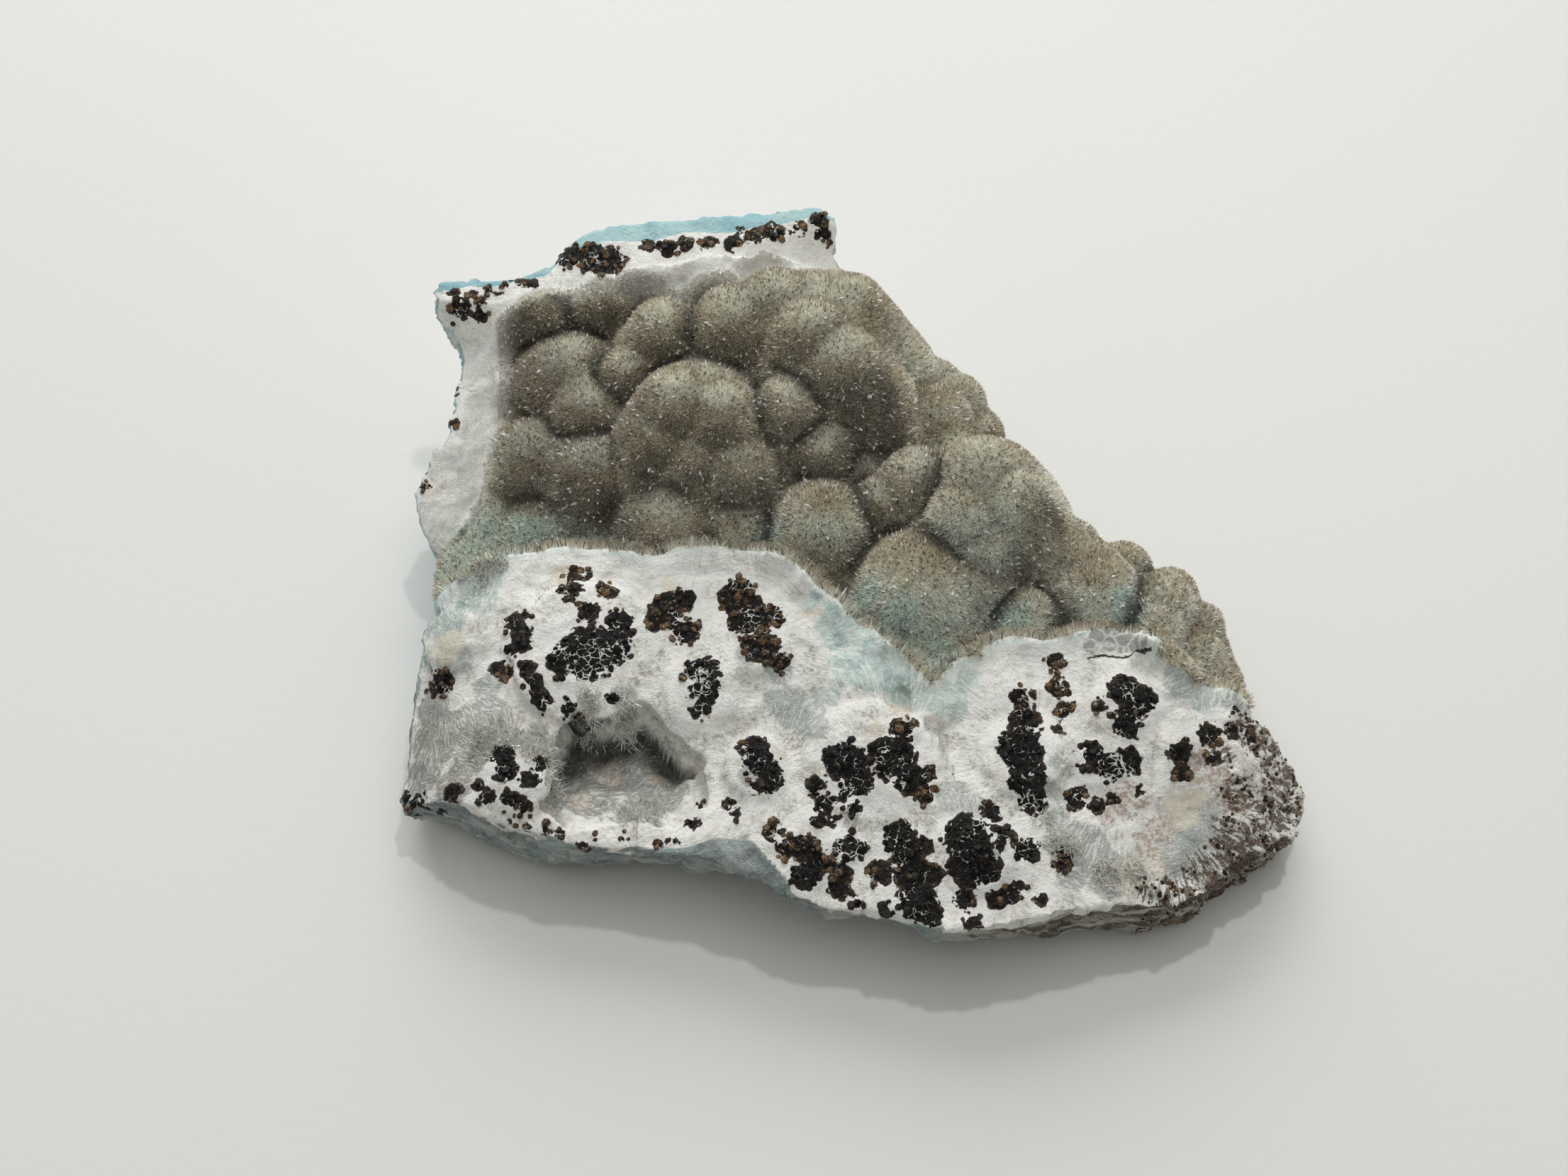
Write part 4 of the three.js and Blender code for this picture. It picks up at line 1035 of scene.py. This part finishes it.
def crystal_finish():
    """Crystals of the velvet: clear at the foot and stained brown towards the tip, near black where shade is
    painted in the valleys, and white for the haze by the rims and for painted glints.
    """
    f = Finish("druse_crystals")
    clear = f.blend(f.read("teal"), CRYSTAL_CLEAR, CRYSTAL_TEAL)
    share = f.times(f.step(f.read("tip"), 0.1, 0.75), f.read("brown"))
    colour = f.blend(share, clear, CRYSTAL_BROWN)
    colour = f.blend(f.times(f.read("painted_shade"), 0.94), colour, CRYSTAL_SHADE)
    colour = f.scaled(colour, f.read("tone"))
    colour = f.blend(f.read("tint"), colour, CRYSTAL_WHITE_AND_GLINT)
    return f.set(Base_Color=colour, Roughness=f.step(f.read("tint"), 0.5, 0.9, 0.3, 0.09), IOR=1.6)


def spray_finish():
    """Loose white crystals."""
    f = Finish("white_crystals")
    colour = f.blend(f.read("tint"), SPRAY_WHITE, SPRAY_GREY)
    return f.set(Base_Color=colour, Roughness=0.16, IOR=1.62)


def goethite_finish():
    """Black grains that turn brown and dusty."""
    f = Finish("goethite")
    lump = f.noise(0.35, 4, 0.65)
    brown = f.step(f.uneven(f.read("brown"), lump, 1.2), 0.78, 1.35)
    warm = f.blend(f.step(f.noise(0.55, 4, 0.7), 0.42, 0.66), GRAIN_DARK, GRAIN_WARM)
    colour = f.blend(brown, GRAIN_BLACK, warm)
    dust = f.times(f.step(f.noise(0.3, 5, 0.75), 0.57, 0.63), f.step(f.read("brown"), 0.35, 0.8, 0.05, 0.8))
    colour = f.blend(dust, colour, GRAIN_DUST)
    normal = f.bump(f.noise(0.14, 4, 0.6), 0.08, 0.9)
    return f.set(Base_Color=colour, Roughness=0.26, Specular_IOR_Level=0.2, Normal=normal)


stone_piece = finish_piece(bpy.data.objects.new("stone", stone), stone_finish())
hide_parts("matrix")
for polygon in stone.polygons:
    polygon.use_smooth = True


# ---- crystals and grains ----------------------------------------------------------------------------

def arrays_of(shape):
    """Corners and triangles of a small shape, as arrays."""
    bmesh.ops.triangulate(shape, faces=shape.faces)
    bmesh.ops.recalc_face_normals(shape, faces=shape.faces)
    shape.verts.index_update()
    corners = np.array([vert.co for vert in shape.verts])
    triangles = np.array([[vert.index for vert in face.verts] for face in shape.faces])
    shape.free()
    return corners, triangles


def needle_shape():
    """A three-sided crystal of height 1 that stands on z = 0."""
    shape = bmesh.new()
    bmesh.ops.create_cone(shape, cap_ends=False, segments=3, radius1=0.5, radius2=0, depth=1)
    bmesh.ops.translate(shape, vec=(0, 0, 0.5), verts=shape.verts)
    bmesh.ops.remove_doubles(shape, verts=shape.verts, dist=1e-4)
    return arrays_of(shape)


def grain_shape():
    """An angular lump with a low point on top, its corners uneven. Its middle is at the origin."""
    shape = bmesh.new()
    bmesh.ops.create_cone(shape, cap_ends=True, segments=6, radius1=1, radius2=0.82, depth=1)
    top = [face for face in shape.faces if face.normal.z > 0.9]
    bmesh.ops.poke(shape, faces=top, offset=0.22)
    for vert in shape.verts:
        vert.co.x *= rng.uniform(0.78, 1.18)
        vert.co.y *= rng.uniform(0.78, 1.18)
        vert.co.z += rng.uniform(-0.16, 0.16)
    return arrays_of(shape)


def turned(directions, spins):
    """Rotation matrices that take +Z to each direction, after a turn about it."""
    helper = np.where(np.abs(directions[:, 2:3]) < 0.9, [[0, 0, 1.0]], [[1.0, 0, 0]])
    side = np.cross(helper, directions)
    side /= np.linalg.norm(side, axis=1, keepdims=True)
    third = np.cross(directions, side)
    across = side * np.cos(spins)[:, None] + third * np.sin(spins)[:, None]
    return np.stack([across, np.cross(directions, across), directions], axis=2)


def joined_copies(name, shape, places, directions, sizes, numbers):
    """One mesh with a copy of a small shape at each place (metres). numbers: name to value per copy."""
    corners, triangles = shape
    count = len(places)
    spins = rng.uniform(0, 2 * math.pi, count)
    local = corners[None] * sizes[:, None, :]
    verts = places[:, None] + np.einsum("nij,nkj->nki", turned(directions, spins), local)
    index = (triangles[None] + (np.arange(count) * len(corners))[:, None, None]).reshape(-1, 3)
    mesh = bpy.data.meshes.new(name)
    mesh.vertices.add(count * len(corners))
    mesh.vertices.foreach_set("co", verts.astype(np.float32).ravel())
    mesh.loops.add(index.size)
    mesh.loops.foreach_set("vertex_index", index.astype(np.int32).ravel())
    mesh.polygons.add(len(index))
    mesh.polygons.foreach_set("loop_start", np.arange(0, index.size, 3, dtype=np.int32))
    mesh.polygons.foreach_set("use_smooth", np.zeros(len(index), bool))
    mesh.update(calc_edges=True)
    keep(mesh, "tip", np.tile(corners[:, 2], count))
    for key, values in numbers.items():
        keep(mesh, key, np.repeat(values, len(corners)))
    return bpy.data.objects.new(name, mesh)


face_areas = np.empty(len(stone.polygons), np.float32)
stone.polygons.foreach_get("area", face_areas)


def surface_samples(weights, count):
    """Random places on the stone, with their normals and nearest vertices, more where weights are large."""
    share = face_areas * weights[faces].mean(1) * (points[faces][:, :, 2].min(1) > FOOT)
    chosen = rng.choice(len(faces), count, p=share / share.sum())
    corners = faces[chosen]
    u, v = rng.uniform(0, 1, (2, count, 1))
    a, b, c, d = (points[corners[:, k]] for k in range(4))
    place = (a * (1 - u) + b * u) * (1 - v) + (d * (1 - u) + c * u) * v
    normal = normals[corners].mean(1)
    normal /= np.linalg.norm(normal, axis=1, keepdims=True)
    return place, normal, corners[:, 0]


def tilted(directions, amount):
    """Directions that lean by chance."""
    leaning = directions + rng.normal(0, amount, directions.shape)
    return leaning / np.linalg.norm(leaning, axis=1, keepdims=True)


def velvet_crystals():
    """The velvet: crystals of about 0.3 mm, longer along the edge of the break."""
    weights = ease(velvet, 0.35, 0.6)
    place, normal, vert = surface_samples(weights, NEEDLES)
    height = rng.uniform(0.24, 0.44, len(place))
    width = rng.uniform(0.085, 0.14, len(place))
    rim = ease(area_edge[vert], 0.9, 0.3) * ease(place[:, 1], 8, 2)
    height *= 1 + 1.3 * rim
    brown = brown_share(place, normal)
    low_front = patch_mask(place, clear_fronts) * ease(-normal[:, 1], 0.2, 0.8)
    teal = np.maximum(patch_mask(place, teal_hollows), 0.6 * low_front)
    white_haze = pale_haze(place, area_edge[vert])
    brown *= 1 - 0.9 * white_haze
    kind = rng.uniform(0, 1, len(place))
    # painted glints: the few wide crystals are glossy, and white to stand in for sparkle
    glinting = kind > GLINT_FROM
    tint = np.where(glinting, 1.0, 0.12 * rng.uniform(0, 1, len(place)))
    tint = np.maximum(tint, 0.2 * rim * rng.uniform(0, 1, len(place)) ** 2)
    brown = np.maximum(brown, rim * rng.uniform(0.35, 1, len(place)))
    tint = np.maximum(tint, 0.9 * white_haze * rng.uniform(0.4, 1, len(place)))
    brown[glinting] = 0
    height[glinting] *= 1.3
    width[glinting] *= rng.uniform(2.0, 3.6, int(glinting.sum()))
    tone = np.clip(1 + 0.3 * rough(place, 0.4, 31) + rng.uniform(-0.2, 0.2, len(place)), 0.5, 1.5)
    dark = kind < DARK_UNTIL
    tone[dark] = 0.15
    brown[dark] = 1
    width[dark] *= 1.5
    needle = needle_shape()
    material = crystal_finish()
    per_piece = PIECE_LIMIT // len(needle[1])
    for k, start in enumerate(range(0, NEEDLES, per_piece)):
        part = slice(start, start + per_piece)
        sizes = np.stack([width[part], width[part], height[part]], 1) * MM
        numbers = {"brown": brown[part], "tint": tint[part], "tone": tone[part], "teal": teal[part],
                   "painted_shade": painted_shade[vert[part]]}
        feet = (place[part] - 0.04 * normal[part]) * MM
        leaning = tilted(normal[part], 0.26)
        druse = joined_copies(f"druse_crystals_{k + 1}", needle, feet, leaning, sizes, numbers)
        finish_piece(druse, material)
        if k == 0:
            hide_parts("druse_crust")


def loose_sprays():
    """Longer white crystals in loose tufts on the rock, all round the hollow of the break."""
    spots = patch_mask(points, white_sprays) * (normals[:, 2] > 0.1) * (velvet < 0.5) * (knot_gap > 0.1)
    place, normal, _ = surface_samples(spots, SPRAYS)
    height = rng.uniform(0.45, 1.15, len(place))
    width = rng.uniform(0.10, 0.19, len(place))
    sizes = np.stack([width, width, height], 1) * MM
    leaning = tilted(normal, 0.55)
    numbers = {"tint": rng.uniform(0, 1, len(place))}
    feet = (place - 0.05 * normal) * MM
    sprays = joined_copies("white_crystals", needle_shape(), feet, leaning, sizes, numbers)
    finish_piece(sprays, spray_finish())


def knot_places():
    """The goethite grains, on a loose grid: point, slope, brownness and distance from the knot's edge."""
    steps_x, steps_y = np.meshgrid(np.arange(-41, 41, KNOT_STEP), np.arange(-34, 34, KNOT_STEP * 0.87))
    staggered = 0.5 * (np.arange(len(steps_x)) % 2)[:, None]
    steps_x = steps_x + KNOT_STEP * (staggered + rng.uniform(-0.3, 0.3, steps_x.shape))
    steps_y = steps_y + KNOT_STEP * rng.uniform(-0.3, 0.3, steps_y.shape)
    found = []
    for x, y in zip(steps_x.ravel(), steps_y.ravel()):
        gaps = np.hypot(knots[:, 0] - x, knots[:, 1] - y) - knots[:, 3]
        nearest = gaps.argmin()
        if gaps[nearest] > 0.1:
            continue
        point, slope = drop(stone_tree, x, y)
        if point is not None:
            found.append((*point, *slope, knots[nearest, 4], gaps[nearest]))
    return np.array(found)


def goethite_grains():
    """Angular grains that fill the knots, with gaps where white lines part them."""
    grains = knot_places()
    count = len(grains)
    netted = patch_mask(grains[:, :3] / MM, netted_knots)
    left_out = np.maximum(0.95 * netted, 0.66 - 0.4 * grains[:, 6])
    grains = grains[rng.uniform(0, 1, count) > left_out]
    count = len(grains)
    radius = 0.17 + 0.32 * rng.uniform(0, 1, count) ** 1.6
    brown = grains[:, 6] + rng.normal(0, 0.15, count) + 0.3 * ease(grains[:, 7], -0.6, 0.1)
    rise = radius * rng.uniform(0.35, 0.8, count)
    material = goethite_finish()
    for k in range(GRAIN_PIECES):
        part = slice(k, None, GRAIN_PIECES)
        across = radius[part] * rng.uniform(0.85, 1.2, len(radius[part]))
        sizes = np.stack([across, radius[part], rise[part]], 1) * MM
        lumps = joined_copies(f"goethite_grains_{k + 1}", grain_shape(), grains[part, :3],
                              tilted(grains[part, 3:6], 0.34), sizes, {"brown": np.clip(brown[part], 0, 1)})
        finish_piece(lumps, material)


def end_grit():
    """Brown grit on the streaked end of the rock."""
    rough_end = ease(-end_gap, -0.6, 0.8) * (velvet < 0.5)
    place, normal, _ = surface_samples(rough_end, GRIT)
    along_streaks = place @ np.array([[0.78, 0.62, 0], [-0.62, 0.78, 0], [0, 0, 1]])
    keep_part = rough(along_streaks * (0.5, 1.6, 1), 1.0, 21) > 0.1
    place, normal = place[keep_part], normal[keep_part]
    count = len(place)
    size = rng.uniform(0.08, 0.19, count)
    sizes = np.stack([size * rng.uniform(1.0, 1.8, count), size, size * 1.1], 1) * MM
    grit = joined_copies("brown_grit", grain_shape(), place * MM, tilted(normal, 0.35), sizes,
                         {"brown": rng.uniform(0.25, 0.95, count)})
    finish_piece(grit, goethite_finish())


velvet_crystals()
loose_sprays()
goethite_grains()
end_grit()


# ---- stage ------------------------------------------------------------------------------------------

def floor():
    """A wide pale floor, hardly mottled."""
    f = Finish("pale_floor")
    tone = f.blend(f.step(f.noise(180, 2), 0.3, 0.7), FLOOR_LIGHT, FLOOR_DARK)
    material = f.set(Base_Color=tone, Roughness=0.55, Normal=f.bump(f.noise(1.1, 2), 0.05, 0.5))
    shape = bmesh.new()
    bmesh.ops.create_grid(shape, x_segments=1, y_segments=1, size=2.5)
    plane = bpy.data.objects.new("floor", mesh_of(shape, "floor"))
    shape.free()
    plane.data.materials.append(material)
    add_to_scene(plane)


def area_light(name, place, size, power):
    """A rectangle of white light that faces the stone."""
    data = bpy.data.lights.new(name, "AREA")
    data.shape = "RECTANGLE"
    data.size, data.size_y = size
    data.energy = power
    light = bpy.data.objects.new(name, data)
    light.location = place
    light.rotation_euler = (-Vector(place)).to_track_quat("-Z", "Y").to_euler()
    add_to_scene(light)


def room():
    """Weak white light from all round."""
    world = bpy.data.worlds.new("room")
    world.use_nodes = True
    sky = world.node_tree.nodes["Background"]
    sky.inputs["Color"].default_value = (1.0, 1.0, 0.98, 1)
    sky.inputs["Strength"].default_value = 0.25
    bpy.context.scene.world = world
    bpy.context.scene.view_settings.view_transform = "Standard"


def camera():
    """Looks down on the stone from the front."""
    target = Vector((-5.5, -2.4, 10)) * MM
    elevation = math.radians(56)
    distance = 184.33 * MM
    data = bpy.data.cameras.new("camera")
    data.lens = 48
    data.sensor_width = 36
    data.clip_start, data.clip_end = 0.01, 20
    eye = bpy.data.objects.new("camera", data)
    eye.location = target + distance * Vector((0, -math.cos(elevation), math.sin(elevation)))
    eye.rotation_euler = (math.radians(90) - elevation, 0, 0)
    add_to_scene(eye)
    bpy.context.scene.camera = eye


floor()
area_light("ceiling", place=(0, -0.02, 0.8), size=(0.9, 0.8), power=1.5)
area_light("window", place=(-0.10, 0.86, 0.56), size=(1.1, 0.7), power=8.0)
area_light("glint", place=(0.10, 0.22, 0.6), size=(0.03, 0.03), power=0.6)
room()
camera()
